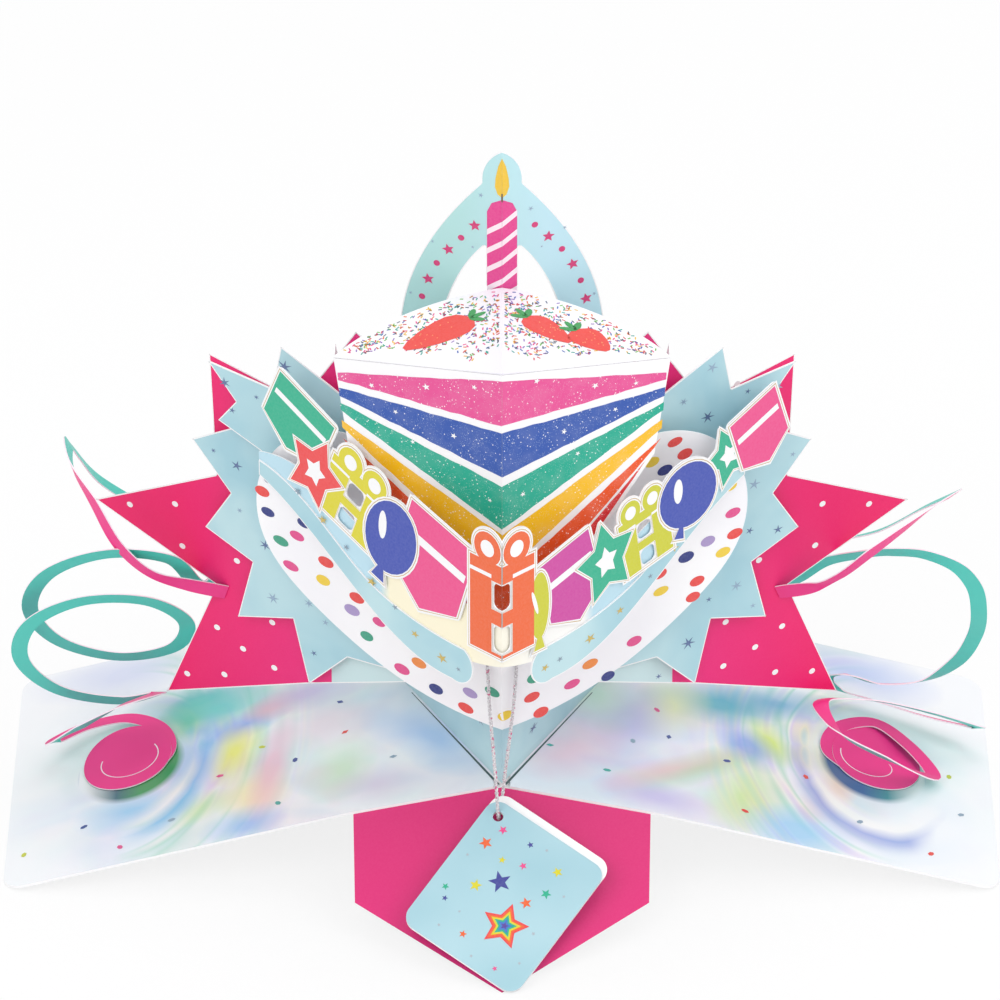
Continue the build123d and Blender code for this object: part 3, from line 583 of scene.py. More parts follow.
def film_finish(name, glows, ring_tint, ring_out, disc_reflection_hues):
    """White film with soft glows, arcs and a ring round the disc, and a painted dark reflection and shadow of
    the disc.
    """
    film = Finish(name, roughness=0.2)
    x, y, z = film.place()
    top = film.facing()[2] > 0.5
    out = x.size()
    wave = film.noise(40, 2.0, 0.4, 6.6) - 0.5
    lively = 1 - film_oval(x, y, *FILM_HEART).ramp(0.55, 1.25)
    tone = FILM_BASE
    for tint, scale, level, seed, strength in FILM_TINTS:
        patch = film.noise(scale, 2.0, 0.8, seed).ramp(level - 0.06, level + 0.16)
        tone = film.mix(patch * strength * lively, tone, tint)
    from_ring = film_oval(x, y, DISC_OUT, DISC_PLACE, *RING_REACH)
    arc_angle = (y - DISC_PLACE).sum("ARCTAN2", y - DISC_PLACE, out - DISC_OUT)
    arc_place = film.node("CombineXYZ", X=from_ring * 3.0, Y=arc_angle.size() * 0.5, Z=len(name))
    arc_noise = film.node("TexNoise", Vector=film.out(arc_place), Scale=1.0, Detail=1.0, Distortion=0.0)
    arcs = (1 - from_ring.ramp(1.3, 2.6)) * from_ring.ramp(0.7, 0.95) * (1 - out.ramp(104, 118))
    tone = film.mix(arcs * 0.6, tone, film.ramp_tone(film.out(arc_noise), *ARC_HUES))
    for glow_colour, glow_out, glow_back, glow_wide, glow_long, glow_turn, strength in glows:
        reach = film_oval(x, y, glow_out, glow_back, glow_wide * 1.1, glow_long * 1.1, glow_turn)
        spot = 1 - (reach + wave * 1.1).ramp(0.2, 1.45)
        tone = film.mix(spot * strength, tone, colour(*glow_colour))
    ring_hues = (*RING_HUES[:2], (0.64, ring_tint), RING_HUES[2])
    ring_tone = film.ramp_tone(from_ring * 0.6 + wave * 0.12, *ring_hues)
    ring_mask = (1 - from_ring.ramp(1.15, 1.35)) * from_ring.ramp(0.72, 0.9) * (1 - y.ramp(0, 34))
    ring_mask = ring_mask * (1 - (out + wave * 20).ramp(ring_out - 12, ring_out))
    tone = film.mix(ring_mask * 0.85, tone, ring_tone)
    # Painted reflection and shadow of the disc: its teal underside seen in the glossy film and the shade
    # under it, as a dark crescent of colour.
    across = (out - DISC_OUT + REFLECTION_REACH[0]) / (REFLECTION_REACH[0] * 2)
    painted_reflection = film_oval(x, y, DISC_OUT - 1, DISC_PLACE - REFLECTION_FORWARD, *REFLECTION_REACH)
    tone = film.mix((1 - painted_reflection.ramp(0.93, 1.1)) * 0.92, tone, film.ramp_tone(across, *disc_reflection_hues))
    film.feed("Base Color", film.mix(top, WHITE, tone))
    film.feed("Roughness", 0.5 - top * 0.3)
    film.grain(60, 0.25, 0.0004)
    return film


BOARDS = ("left_board", "right_board")
for board, *film_look in zip(BOARDS, FILM_GLOWS, RING_TINTS, RING_OUTS, DISC_REFLECTION_HUES):
    dress(board, film_finish(board + "_film", *film_look))

flecks = Print(board_top)
random.seed(11)
for fleck_colour, places in FLECKS:
    for fleck_x, fleck_y in places:
        fleck_shape = oval(*FLECK_SIZE, random.uniform(0, 180), random.choice((4, 5, 6)))
        flecks.shape(moved(fleck_shape, fleck_x, fleck_y), colour(*fleck_colour))
flecks.finished("board_flecks", ink_finish("fleck_ink", 0.3))

# Spine strip
# A plain strip of the smooth white cover paper. It is glued under the boards' inner edges and
# hinges them.
cover = Finish("cover_paper", roughness=0.6)
cover.feed("Base Color", cover.mix(cover.noise(300, 3.0), colour(240, 238, 246), colour(252, 252, 254)))
cover.grain(1800, 0.2)
dress("spine_strip", cover)

# Front foot
# A pentagon of card printed plain magenta on its outside, folded in the middle. Its magenta is a little
# stronger and redder towards the lower edges, and the cut edges are white.
FOOT_RISES = (0.45, 0.93)
foot = Finish("magenta_card", roughness=0.5)
rise = foot.facing()[2]
foot_front = (rise > FOOT_RISES[0]) * (rise < FOOT_RISES[1])
foot_tone = foot.mix(foot.place()[2].ramp(6, 34), colour(224, 26, 118), colour(216, 34, 114))
foot_tone = foot.mix(foot.noise(1600, 3.0).ramp(0.3, 0.8) * 0.06, foot_tone, colour(255, 130, 180))
foot.feed("Base Color", foot.mix(foot_front, WHITE, foot_tone))
foot.grain(1500, 0.18)
dress("front_foot", foot)

# Pale sheets
# The centre support and the two pale stars are card printed pale watercolour blue with small
# foil stars. They are die cut, so their edges are white, and their backs are plain.
SUPPORT_SWEEP = 66.6
SUPPORT_FOLD = 0.5
BLUE_SWEEP = 31
BLUE_FOLD = -1
UPPER_SWEEP = 29
UPPER_FOLD = -2
# Painted shadow: sizes of the thin dark strips printed on the boards in front of the centre support's foot.
FOOT_SHADOW_REACH = 27
FOOT_SHADOW_WIDE = 0.8
FOOT_SHADOW_GAP = 0.6
FOOT_SHADOW_TAPER = 0.7
FOOT_SHADOW_SHARES = (0.0, 0.35, 0.7, 1.0)
FRONT_FACING = 0.8
FOIL_DARK = colour(98, 118, 160)
FOIL_SOFT = colour(150, 176, 200)
BLUE_STARS = (
    (-79.5, 121.8, 1.5), (-78.9, 106.5, 0.8), (-71.2, 97.1, 1.5), (-69.1, 79.3, 1.6), (-58.1, 81.4, 1.2),
    (-64.1, 90.0, 0.9), (-53.1, 76.5, 0.9), (-56.8, 64.4, 0.9), (-86.6, 124.6, 0.7), (-71.6, 127.1, 0.8),
    (79.1, 127.8, 1.7), (87.3, 123.1, 0.8), (75.7, 116.7, 1.6), (83.2, 98.4, 1.3), (74.5, 101.0, 1.1),
    (70.7, 83.1, 1.5), (62.3, 81.3, 0.8), (75.9, 74.3, 0.8), (56.2, 68.2, 1.8), (47.2, 59.7, 0.9),
)
UPPER_STARS = (
    (-64.4, 163.0, 1.9), (-82.6, 152.0, 1.5), (-80.4, 143.2, 0.9), (-73.0, 150.0, 0.7), (-58.0, 150.5, 1.0),
    (62.2, 163.4, 1.5), (82.1, 150.8, 1.4), (53.7, 154.4, 1.1), (61.0, 147.0, 1.7), (73.0, 152.0, 0.8),
)
SUPPORT_STARS = ((9.4, 44.6, 1.2), (-6.6, 51.4, 1.1), (-14.2, 61.0, 0.9), (12.6, 58.5, 0.8))


def on_sheet(fold, sweep):
    """Places on the front of a sheet folded at a sweep, from x and z in millimetres."""
    angle = math.radians(sweep)

    def surface(x, z, lift=0.0):
        side = -1 if x < 0 else 1
        away = abs(x) * math.tan(angle) + fold
        ahead = Vector((side * math.sin(angle), -math.cos(angle), 0))
        return (Vector((x, FOLD_FRONT / MM + away, z)) + ahead * lift) * MM

    return surface


def card_finish(name, sweep, tone, roughness=0.5):
    """Card of a sheet folded at a sweep, with a print on its front only, whose colour its tone gives."""
    card = Finish(name, roughness)
    x, y, z = card.place()
    nx, ny, nz = card.facing()
    angle = math.radians(sweep)
    front = (x.sign() * nx * math.sin(angle) - ny * math.cos(angle)) > FRONT_FACING
    card.grain(1500, 0.18)
    card.feed("Base Color", card.mix(front, WHITE, tone(card, x, z)))
    return card


def pale_tone(card, x, z):
    """Pale blue watercolour."""
    return card.mix(card.noise(24, 3.0, 0.8).ramp(0.35, 0.65), colour(168, 210, 222), colour(194, 226, 232))


# Painted shadow: thin dark green-grey strips printed on each board just in front of the centre support's
# foot. They stand for the shade in the gap between the support and the board.
slots = Print(board_top)
for side in (-1, 1):
    foot_shadow_line = [(FOOT_SHADOW_REACH * share, FOOT_SHADOW_WIDE * (1 - share * FOOT_SHADOW_TAPER)) for share in FOOT_SHADOW_SHARES]
    for (start_out, start_wide), (end_out, end_wide) in zip(foot_shadow_line, foot_shadow_line[1:]):
        corners = []
        for shadow_out, wide in ((start_out, 0), (end_out, 0), (end_out, end_wide), (start_out, start_wide)):
            shadow_back = FOLD_FRONT / MM + SUPPORT_FOLD + shadow_out * math.tan(math.radians(SUPPORT_SWEEP))
            corners.append((side * (shadow_out + FOOT_SHADOW_GAP + wide), shadow_back))
        slots.shape(corners, colour(58, 84, 84))
slots.finished("support_foot_shadow", ink_finish("foot_shadow_ink", 0.7))

foil = ink_finish("foil_ink", 0.28, Metallic=0.35)
for sheet_name, sheet_fold, sheet_sweep, sheet_stars in (
    ("centre_support", SUPPORT_FOLD, SUPPORT_SWEEP, SUPPORT_STARS),
    ("blue_star", BLUE_FOLD, BLUE_SWEEP, BLUE_STARS),
    ("upper_star", UPPER_FOLD, UPPER_SWEEP, UPPER_STARS),
):
    dress(sheet_name, card_finish(sheet_name + "_card", sheet_sweep, pale_tone))
    stars = Print(on_sheet(sheet_fold, sheet_sweep))
    for star_x, star_z, star_reach in sheet_stars:
        star_shape = star_outline(star_reach * 1.25, random.choice((5, 6)), 0.28, random.uniform(0, 60))
        stars.shape(moved(star_shape, star_x, star_z), random.choice((FOIL_DARK, FOIL_SOFT)))
    stars.finished(sheet_name + "_foil", foil)

# Pink star
# The rear burst is card printed hot pink with scattered small white dots.
PINK_SWEEP = 33
PINK_DOTS = (
    (-113.3, 92.9), (-99.1, 98.4), (-97.1, 84.4), (-80.2, 85.6), (-86.8, 59.6), (-78.8, 55.1), (-69.2, 52.1),
    (-96.5, 39.3), (-84.8, 43.6), (-69.6, 68.0), (97.1, 99.2), (111.7, 93.7), (95.1, 85.4), (77.7, 86.8),
    (85.3, 60.6), (77.0, 56.4), (67.2, 53.5), (83.4, 45.0), (95.0, 40.8), (67.7, 68.9), (70.0, 150.6),
)
PINK_DOT_SIZE = 1.9
PALE_OUT = 51.5
PALE_HEIGHT = 80


def pink_tone(card, x, z):
    """Hot pink, redder towards the points and pale low in the middle."""
    tone = card.mix(x.size().ramp(50, 98), colour(238, 30, 126), colour(242, 10, 106))
    tone = card.mix(card.noise(1800, 3.0).ramp(0.35, 0.8) * 0.06, tone, colour(255, 120, 170))
    return card.mix((x.size() < PALE_OUT) * (z < PALE_HEIGHT), tone, colour(206, 230, 232))


dress("pink_star", card_finish("pink_card", PINK_SWEEP, pink_tone))
pink_dots = Print(on_sheet(0, PINK_SWEEP))
for dot_x, dot_z in PINK_DOTS:
    pink_dots.shape(moved(oval(PINK_DOT_SIZE, PINK_DOT_SIZE, corners=16), dot_x, dot_z), WHITE)
pink_dots.finished("pink_star_dots", ink_finish("dot_ink"))

# Dotted plate
# The round plate behind the cake is white card with scattered coloured ovals. Two small holes
# below its middle take the twine's ends.
PLATE_SWEEP = 24
PLATE_FOLD = -3
PLATE_DOT = (4.6, 3.2)
PLATE_DOTS = (
    ((38, 52, 128), ((-69.0, 128.1), (-69.8, 116.6), (-58.9, 115.6), (-45.3, 102.6), (-19.7, 68.4),
                     (31.7, 69.7), (54.9, 104.9), (48.2, 136.5))),
    ((226, 74, 140), ((-61.1, 110.6), (-36.7, 87.2), (-29.9, 72.6), (20.9, 69.8), (39.5, 79.8), (68.8, 116.6),
                      (-63.1, 99.7))),
    ((233, 70, 66), ((-71.4, 123.3), (-52.5, 103.8), (-43.3, 93.8), (-10.8, 64.2), (11.6, 62.5), (8.9, 68.5),
                     (46.8, 101.2), (58.3, 95.7), (57.1, 90.5), (51.1, 145.3), (54.1, 140.5), (69.5, 109.2))),
    ((240, 206, 60), ((-53.4, 97.3), (0.9, 64.2), (41.7, 127.6), (47.4, 95.1), (66.0, 103.7), (67.8, 126.0),
                      (44.3, 140.2))),
    ((58, 160, 130), ((-66.0, 107.6), (-40.4, 81.3), (-2.9, 72.0), (9.5, 75.0))),
    ((240, 140, 60), ((-24.8, 76.1), (26.3, 75.4))),
    ((170, 150, 200), ((-9.5, 69.8), (61.4, 108.7), (-44.8, 89.2), (-33.0, 98.0), (30.0, 88.0))),
)


def plate_tone(card, x, z):
    """White with faint cool patches."""
    return card.mix(card.noise(30, 2.0).ramp(0.4, 0.7), colour(247, 246, 250), (1, 1, 1, 1))


dress("dotted_plate", card_finish("plate_card", PLATE_SWEEP, plate_tone))
plate_dots = Print(on_sheet(PLATE_FOLD, PLATE_SWEEP))
for dot_colour, places in PLATE_DOTS:
    for dot_x, dot_z in places:
        wide, tall = (size * random.uniform(0.88, 1.08) for size in PLATE_DOT)
        dot_shape = oval(wide, tall, 18 if dot_x > 0 else -24)
        plate_dots.shape(moved(dot_shape, dot_x, dot_z), colour(*dot_colour))
plate_dots.finished("plate_dots", ink_finish("plate_ink"))

# Cake sides
# The wedge's two faces are card printed with tapering layers in rainbow colours on white, full of
# fine glitter, with small white stars. White icing is left between and above the layers.
CAKE_SWEEP = 30
CAKE_FOLD = -22
CAKE_LAYERS = (
    ((232, 78, 150), 189.0, 174.2, 176.6, 174.3),
    ((44, 86, 174), 171.8, 157.1, 171.7, 169.1),
    ((14, 172, 144), 154.1, 139.7, 166.8, 164.4),
    ((250, 192, 0), 137.7, 124.1, 161.2, 158.5),
    ((240, 84, 10), 121.7, 107.6, 155.2, 152.4),
    ((226, 40, 44), 104.9, 92.8, 149.2, 147.6),
)
CAKE_STARS = (
    (-38.0, 175.6, 0.9), (-22.0, 180.2, 1.2), (-8.0, 184.6, 0.9), (-31.0, 169.0, 0.8), (-14.0, 166.5, 1.0),
    (-26.0, 160.6, 0.8), (10.0, 186.0, 1.0), (27.0, 179.0, 1.1), (39.0, 176.0, 0.8), (18.0, 166.6, 0.9),
    (33.0, 169.2, 0.8), (6.0, 149.6, 0.9), (-7.0, 133.0, 0.8), (22.0, 158.0, 0.8), (-3.5, 148.4, 0.7),
)
EDGE_STEPS = 16
LAYER_START = 0.002
LAYER_REACH = 48.0
LAYER_NARROWING = 0.07
CAKE_SHOULDER = 176
CAKE_TIP = 91.2
CAKE_STEEPNESS = 1.36
LAYER_MARGIN = 0.4


def cake_edge(z):
    """How far out the print reaches at a height."""
    side_reach = LAYER_REACH - (CAKE_SHOULDER - z) * LAYER_NARROWING
    return min(side_reach, (z - CAKE_TIP) / CAKE_STEEPNESS - LAYER_MARGIN)


def layer_outline(side, centre_top, centre_foot, outer_top, outer_foot):
    """Outline of a cake layer on one face, with slightly brushed long edges."""
    places = []
    for (z_start, x_start), (z_end, x_end) in (
        ((centre_top, LAYER_START), (outer_top, cake_edge(outer_top))),
        ((outer_foot, cake_edge(outer_foot)), (centre_foot, LAYER_START)),
    ):
        for k in range(EDGE_STEPS + 1):
            share = k / EDGE_STEPS
            z = z_start + (z_end - z_start) * share + random.uniform(-0.2, 0.2)
            places.append((side * (x_start + (x_end - x_start) * share), z))
    return places


def icing_tone(card, x, z):
    """Plain white icing."""
    return colour(252, 251, 253)


dress("cake_sides", card_finish("cake_card", CAKE_SWEEP, icing_tone, 0.4))
layers = Print(on_sheet(CAKE_FOLD, CAKE_SWEEP))
for layer_colour, *levels in CAKE_LAYERS:
    for side in (-1, 1):
        layers.shape(layer_outline(side, *levels), colour(*layer_colour))
layers.stars(CAKE_STARS, WHITE, 0.4, (0, 70), PRINT_LIFT * 2)
glitter = Finish("glitter_ink", roughness=0.35)
mottling = glitter.noise(150, 3.0, 0.6).ramp(0.42, 0.8) * 0.07
glitter_tone = glitter.mix(mottling, glitter.ink(), (1, 1, 1, 1))
fine_specks = glitter.specks(2300, 0.25) * glitter.noise(420, 2.0, 0.0, 8.0).ramp(0.4, 0.55)
large_specks = glitter.specks(900, 0.17) * glitter.noise(240, 2.0, 0.0, 5.0).ramp(0.45, 0.5)
glitter_tone = glitter.mix(fine_specks * 0.3, glitter_tone, colour(228, 246, 255))
glitter.feed("Base Color", glitter.mix(large_specks * 0.85, glitter_tone, (1, 1, 1, 1)))
layers.finished("cake_layers", glitter)

# Cake top
# A shallow roof of white card. Sugar sprinkles are printed all over its back part, down to a
# scalloped edge, with three plain strawberries among them.
CAKE_TOP = 191.6
CAKE_TOP_FALL = 10 / 49.2
TOP_BACK = -3.6
TOP_BULGE = (29.5, -9.8)
TOP_NARROWING = 0.82
SPRINKLES = 1500
SPRINKLE = (1.05, 0.38)
SPRINKLE_STRETCH = 1.4
SPRINKLE_REACH = 46
NARROWEST_BAND = 1.5
FULL_BAND = 36
RIDGE_GAP = 1.2
SEEDS = 14
SEED_SIZE = (0.45, 0.7)
LEAF_SIZE = (5.4, 2.2)
LEAF_TURNS = (-62, -8, 48)
LEAF_SPREAD = (2.2, 2.6)
SPRINKLE_INKS = (
    (232, 60, 140), (60, 96, 180), (40, 166, 150), (240, 190, 50), (238, 120, 60), (150, 110, 190),
    (120, 190, 90), (214, 60, 70), (90, 100, 120),
)
SCALLOPS = (
    (-47, -27.0), (-38, -29.5), (-30, -28.5), (-24, -35.5), (-15, -35.0), (-9, -45.0), (-4, -41.5),
    (0, -38.5), (4, -42.0), (10, -45.0), (15, -35.5), (23, -36.5), (30, -29.5), (38, -30.0), (47, -27.0),
)
BERRIES = (
    (-28.8, -30.8, -9.2, -18.8, 14.0),
    (20.0, -29.8, 7.2, -18.8, 10.4),
    (31.0, -30.8, 21.4, -21.6, 12.0),
)


def cake_roof(x, y, lift=0.0):
    """A point of the cake's top, from x and y in millimetres."""
    return Vector((x, y, CAKE_TOP - CAKE_TOP_FALL * abs(x) + lift)) * MM


def roof_back(x):
    """How far back the top reaches at a distance from the ridge."""
    out = abs(x)
    bulge_out, bulge_back = TOP_BULGE
    if out < bulge_out:
        return TOP_BACK + (bulge_back - TOP_BACK) * (out / bulge_out) ** 2
    return bulge_back - (out - bulge_out) * TOP_NARROWING


def scallop(x):
    """Front edge of the sprinkles."""
    for (x_start, y_start), (x_end, y_end) in zip(SCALLOPS, SCALLOPS[1:]):
        if x_start <= x <= x_end:
            return y_start + (y_end - y_start) * (x - x_start) / (x_end - x_start)
    return 0


def berry_outline(tip, crown, width):
    """A strawberry from its tip to its crown, widest near the crown."""
    tip, crown = Vector(tip), Vector(crown)
    along = crown - tip
    across = Vector((-along.y, along.x)).normalized() * width / 2
    profile = ((0.02, 0.16), (0.15, 0.48), (0.38, 0.8), (0.62, 0.98), (0.8, 0.98), (0.93, 0.74), (1.0, 0.3))
    left = [tip + along * far + across * wide for far, wide in profile]
    right = [tip + along * far - across * wide for far, wide in reversed(profile)]
    return [tuple(place) for place in left + right]


icing = Finish("icing_card", roughness=0.5)
# Painted shade: the white card is tinted pale mauve along the roof's ridge.
painted_ridge_shade = (1 - icing.place()[0].size().ramp(0, 16)) * 0.28
icing.feed("Base Color", icing.mix(painted_ridge_shade, colour(252, 251, 254), colour(222, 214, 238)))
icing.grain(1500, 0.18)
dress("cake_top", icing)
sugar = Print(cake_roof)
for sprinkle in range(SPRINKLES):
    sprinkle_x = random.uniform(-SPRINKLE_REACH, SPRINKLE_REACH)
    front, back = scallop(sprinkle_x), roof_back(sprinkle_x) - RIDGE_GAP
    if back - front < NARROWEST_BAND or random.random() > (back - front) / FULL_BAND:
        continue
    turn = random.uniform(0, math.pi)
    along, across = (length / 2 for length in SPRINKLE)
    along_x, along_y = math.cos(turn) * along, math.sin(turn) * along * SPRINKLE_STRETCH
    across_x, across_y = -math.sin(turn) * across, math.cos(turn) * across * SPRINKLE_STRETCH
    middle_y = random.uniform(front, back)
    sprinkle_shape = [
        (end * along_x + edge * across_x, end * along_y + edge * across_y)
        for end, edge in ((-1, -1), (1, -1), (1, 1), (-1, 1))
    ]
    if abs(sprinkle_x) < RIDGE_GAP:
        sprinkle_x = math.copysign(RIDGE_GAP, sprinkle_x)
    sugar.shape(moved(sprinkle_shape, sprinkle_x, middle_y), colour(*random.choice(SPRINKLE_INKS)))
for tip_x, tip_y, crown_x, crown_y, width in BERRIES:
    tip, crown = (tip_x, tip_y), (crown_x, crown_y)
    heading = math.atan2(crown_y - tip_y, crown_x - tip_x)
    sugar.shape(berry_outline(tip, crown, width), colour(238, 70, 62), PRINT_LIFT * 2)
    for seed in range(SEEDS):
        far, aside = random.uniform(0.15, 0.85), random.uniform(-0.3, 0.3) * width
        seed_x = tip_x + (crown_x - tip_x) * far - math.sin(heading) * aside
        seed_y = tip_y + (crown_y - tip_y) * far + math.cos(heading) * aside
        seed_shape = moved(oval(*SEED_SIZE, corners=6), seed_x, seed_y)
        sugar.shape(seed_shape, colour(252, 150, 110), PRINT_LIFT * 3)
    for leaf_turn in LEAF_TURNS:
        leaf_heading = heading + math.radians(leaf_turn)
        leaf_x = crown_x + math.cos(leaf_heading) * LEAF_SPREAD[0]
        leaf_y = crown_y + math.sin(leaf_heading) * LEAF_SPREAD[1]
        leaf_shape = moved(oval(*LEAF_SIZE, math.degrees(leaf_heading), 10), leaf_x, leaf_y)
        sugar.shape(leaf_shape, colour(60, 158, 84), PRINT_LIFT * 3)
sugar.finished("cake_sugar", ink_finish("sugar_ink"))

# Candle arch
# Pale aqua card with a pink candle, its white stripes and a yellow flame. A row of plain pink
# stars and dots follows each side of the arch, with small foil stars round them.
ARCH_SWEEP = 20
ARCH_FOLD = 30.2
CANDLE_HALF = 4.4
CANDLE_FOOT = 189.5
CANDLE_SHOULDER = 216
CANDLE_TOP = 220.6
FOLD_CLEAR = 0.001
STRIPES = 5
STRIPE_START = 3.2
STRIPE_RISE = 6.4
STRIPE_GAP = 6.3
STRIPE_TALL = 1.9
MARK_SIZE = 1.9
WICK = ((FOLD_CLEAR, 219.9), (0.22, 219.9), (0.22, 222.6), (FOLD_CLEAR, 222.6))
FLAME = ((0, 234.2), (1.1, 231.5), (1.9, 227.5), (2.1, 224.6), (1.3, 222.2), (0.2, 221.4))
ARCH_MARKS = (
    (-23.6, 184.0), (-21.8, 190.2), (-19.2, 196.0), (-15.8, 201.2), (-12.0, 205.8), (-8.0, 210.6),
    (9.6, 210.6), (13.6, 206.0), (17.6, 201.0), (20.8, 195.4), (23.2, 189.4), (24.8, 183.0),
)
ARCH_FOIL = (
    (-6.2, 221.0, 0.9), (-20.4, 203.0, 0.6), (-8.6, 203.4, 0.6), (8.4, 216.2, 0.9), (18.4, 208.0, 0.7),
    (-27.0, 184.6, 0.6), (27.2, 184.2, 0.7), (11.6, 203.0, 0.5),
)


def aqua_tone(card, x, z):
    """Pale aqua, bluer on the right."""
    return card.mix(x.ramp(-14, 14), colour(182, 228, 226), colour(194, 232, 244))


dress("candle_arch", card_finish("aqua_card", ARCH_SWEEP, aqua_tone))
arch_print = Print(on_sheet(ARCH_FOLD, ARCH_SWEEP))
for side in (-1, 1):
    half_candle = [
        (0, CANDLE_FOOT), (side * CANDLE_HALF, CANDLE_FOOT), (side * CANDLE_HALF, CANDLE_SHOULDER),
        (side * CANDLE_HALF * 0.7, CANDLE_TOP - 1.6), (0, CANDLE_TOP),
    ]
    if side < 0:
        half_candle = [(min(x, -FOLD_CLEAR), z) for x, z in half_candle]
    arch_print.shape(half_candle, colour(230, 62, 146))
    flame_half = [(side * max(x, FOLD_CLEAR), z) for x, z in FLAME]
    flame_half += [(side * FOLD_CLEAR, FLAME[-1][1])]
    arch_print.shape(flame_half, colour(240, 198, 52))
    arch_print.shape([(side * x, z) for x, z in WICK], colour(110, 90, 60), PRINT_LIFT * 2)
for stripe in range(STRIPES):
    stripe_foot = CANDLE_FOOT - STRIPE_START + stripe * STRIPE_GAP
    for side in (-1, 1):
        inner, outer = stripe_foot, stripe_foot + side * STRIPE_RISE / 2
        band = [
            (side * FOLD_CLEAR, max(inner, CANDLE_FOOT)),
            (side * CANDLE_HALF, max(outer, CANDLE_FOOT)),
            (side * CANDLE_HALF, max(outer + STRIPE_TALL, CANDLE_FOOT + 0.01)),
            (side * FOLD_CLEAR, max(inner + STRIPE_TALL, CANDLE_FOOT + 0.01)),
        ]
        arch_print.shape(band, colour(255, 236, 246), PRINT_LIFT * 2)
for mark, (mark_x, mark_z) in enumerate(ARCH_MARKS):
    if mark % 2:
        mark_shape = star_outline(MARK_SIZE, tilt=random.uniform(-20, 20))
    else:
        mark_shape = oval(MARK_SIZE, MARK_SIZE)
    arch_print.shape(moved(mark_shape, mark_x, mark_z), colour(214, 52, 120))
arch_print.stars(ARCH_FOIL, FOIL_SOFT, 0.3, (0, 60))
arch_print.finished("arch_print", ink_finish("arch_ink"))

# Ribbons
# Two pale blue strips with gold and silver foil stars, and one plain strip behind them that is
# cream in its middle. All are card, folded with the banner.
RIBBON_SWEEP = 44
RIBBON_FOLD = -41.4
CREAM_LEFT = 33
CREAM_RIGHT = 24
GOLD = colour(206, 180, 96)
SILVER = colour(140, 160, 176)
GOLD_FROM = 1.2
RIBBON_STARS = (
    (-17.6, 97.4, 1.7), (-25.6, 101.0, 1.3), (-31.5, 106.8, 1.0), (-12.8, 96.4, 0.8), (-38.5, 111.5, 1.5),
    (-46.0, 119.0, 1.0), (-53.0, 124.5, 1.4), (-60.5, 130.0, 1.2), (17.0, 97.4, 1.0), (25.9, 99.3, 1.7),
    (34.8, 103.8, 1.3), (43.8, 110.4, 0.9), (12.6, 97.0, 1.3), (51.0, 116.0, 1.5), (60.0, 124.0, 1.1),
)
ribbon_card = card_finish("ribbon_card", RIBBON_SWEEP, pale_tone)
for ribbon in ("left_ribbon", "right_ribbon"):
    dress(ribbon, ribbon_card)
ribbon_stars = Print(on_sheet(RIBBON_FOLD, RIBBON_SWEEP))
for star_x, star_z, star_reach in RIBBON_STARS:
    star_shape = star_outline(star_reach, 5, 0.36, random.uniform(0, 60))
    ribbon_stars.shape(moved(star_shape, star_x, star_z), GOLD if star_reach > GOLD_FROM else SILVER)
ribbon_stars.finished("ribbon_foil", foil)


def cream_tone(card, x, z):
    """Cream in the middle, pale blue beyond it."""
    tone = card.mix(x.ramp(-10, 12), colour(255, 247, 218), colour(252, 251, 248))
    left, right = (-1 * x).ramp(CREAM_LEFT, CREAM_LEFT + 3), x.ramp(CREAM_RIGHT, CREAM_RIGHT + 3)
    return card.mix(1 - (1 - left) * (1 - right), tone, colour(192, 226, 240))


dress("cream_ribbon", card_finish("cream_card", RIBBON_SWEEP, cream_tone))

# Banner
# One die cut chain of thirteen joined party shapes, folded in its middle. Each shape is printed in
# a bright colour, with a white border, a fine gilt line and plain trim.
BANNER_SWEEP = 44
BANNER_FOLD = -42
BANNER_HALF = 86
BANNER_TOP = 168
WING_LENGTH = BANNER_HALF / math.cos(math.radians(BANNER_SWEEP))
GILT = colour(208, 176, 120)
BORDER_INSET = 0.12
GILT_INSET = 0.7
WHITE_INSET = 0.95
FILL_INSET = 1.4
PANE_RIM = 0.35
ORANGE, YELLOW = (240, 100, 40), (222, 212, 30)
MAGENTA, GREEN, BLUE = (206, 60, 160), (26, 178, 140), (52, 74, 176)
RED, PINK, LIME, VIOLET = (238, 66, 68), (238, 70, 140), (206, 206, 36), (84, 62, 158)
CHARMS = (
    ("pennant", -0.703, 0.913, 0.23, 0.148, -25, GREEN),
    ("star", -0.64, 0.835, 0.22, 0.175, -25, RED),
    ("present", -0.502, 0.826, 0.222, 0.183, -22, YELLOW),
    ("balloon", -0.383, 0.765, 0.194, 0.193, -20, BLUE),
    ("pennant", -0.24, 0.754, 0.25, 0.217, -18, PINK),
    ("pennant", 0.893, 0.84, 0.19, 0.154, 20, PINK),
    ("star", 0.78, 0.828, 0.19, 0.15, 20, GREEN),
    ("balloon", 0.633, 0.779, 0.222, 0.164, -15, BLUE),
    ("present", 0.487, 0.762, 0.192, 0.169, 10, LIME),
    ("star", 0.354, 0.735, 0.235, 0.187, 10, GREEN),
    ("pennant", 0.236, 0.722, 0.2, 0.183, 15, MAGENTA),
    ("balloon", 0.125, 0.702, 0.088, 0.172, 0, LIME),
)
CENTRE_PRESENT = (0.236, 0.257, 0.762)
STAR_WAIST = 0.55
BOX_SHARE = 0.78
BOW_SHARE = 0.24
LAYER_LIFT = 0.03
PART_LIFT = 0.003


def rectangle(left, right, foot, top):
    """Outline of an upright rectangle, or nothing where it has no width or height."""
    if right - left < 0.2 or top - foot < 0.2:
        return []
    return [[(left, foot), (right, foot), (right, top), (left, top)]]


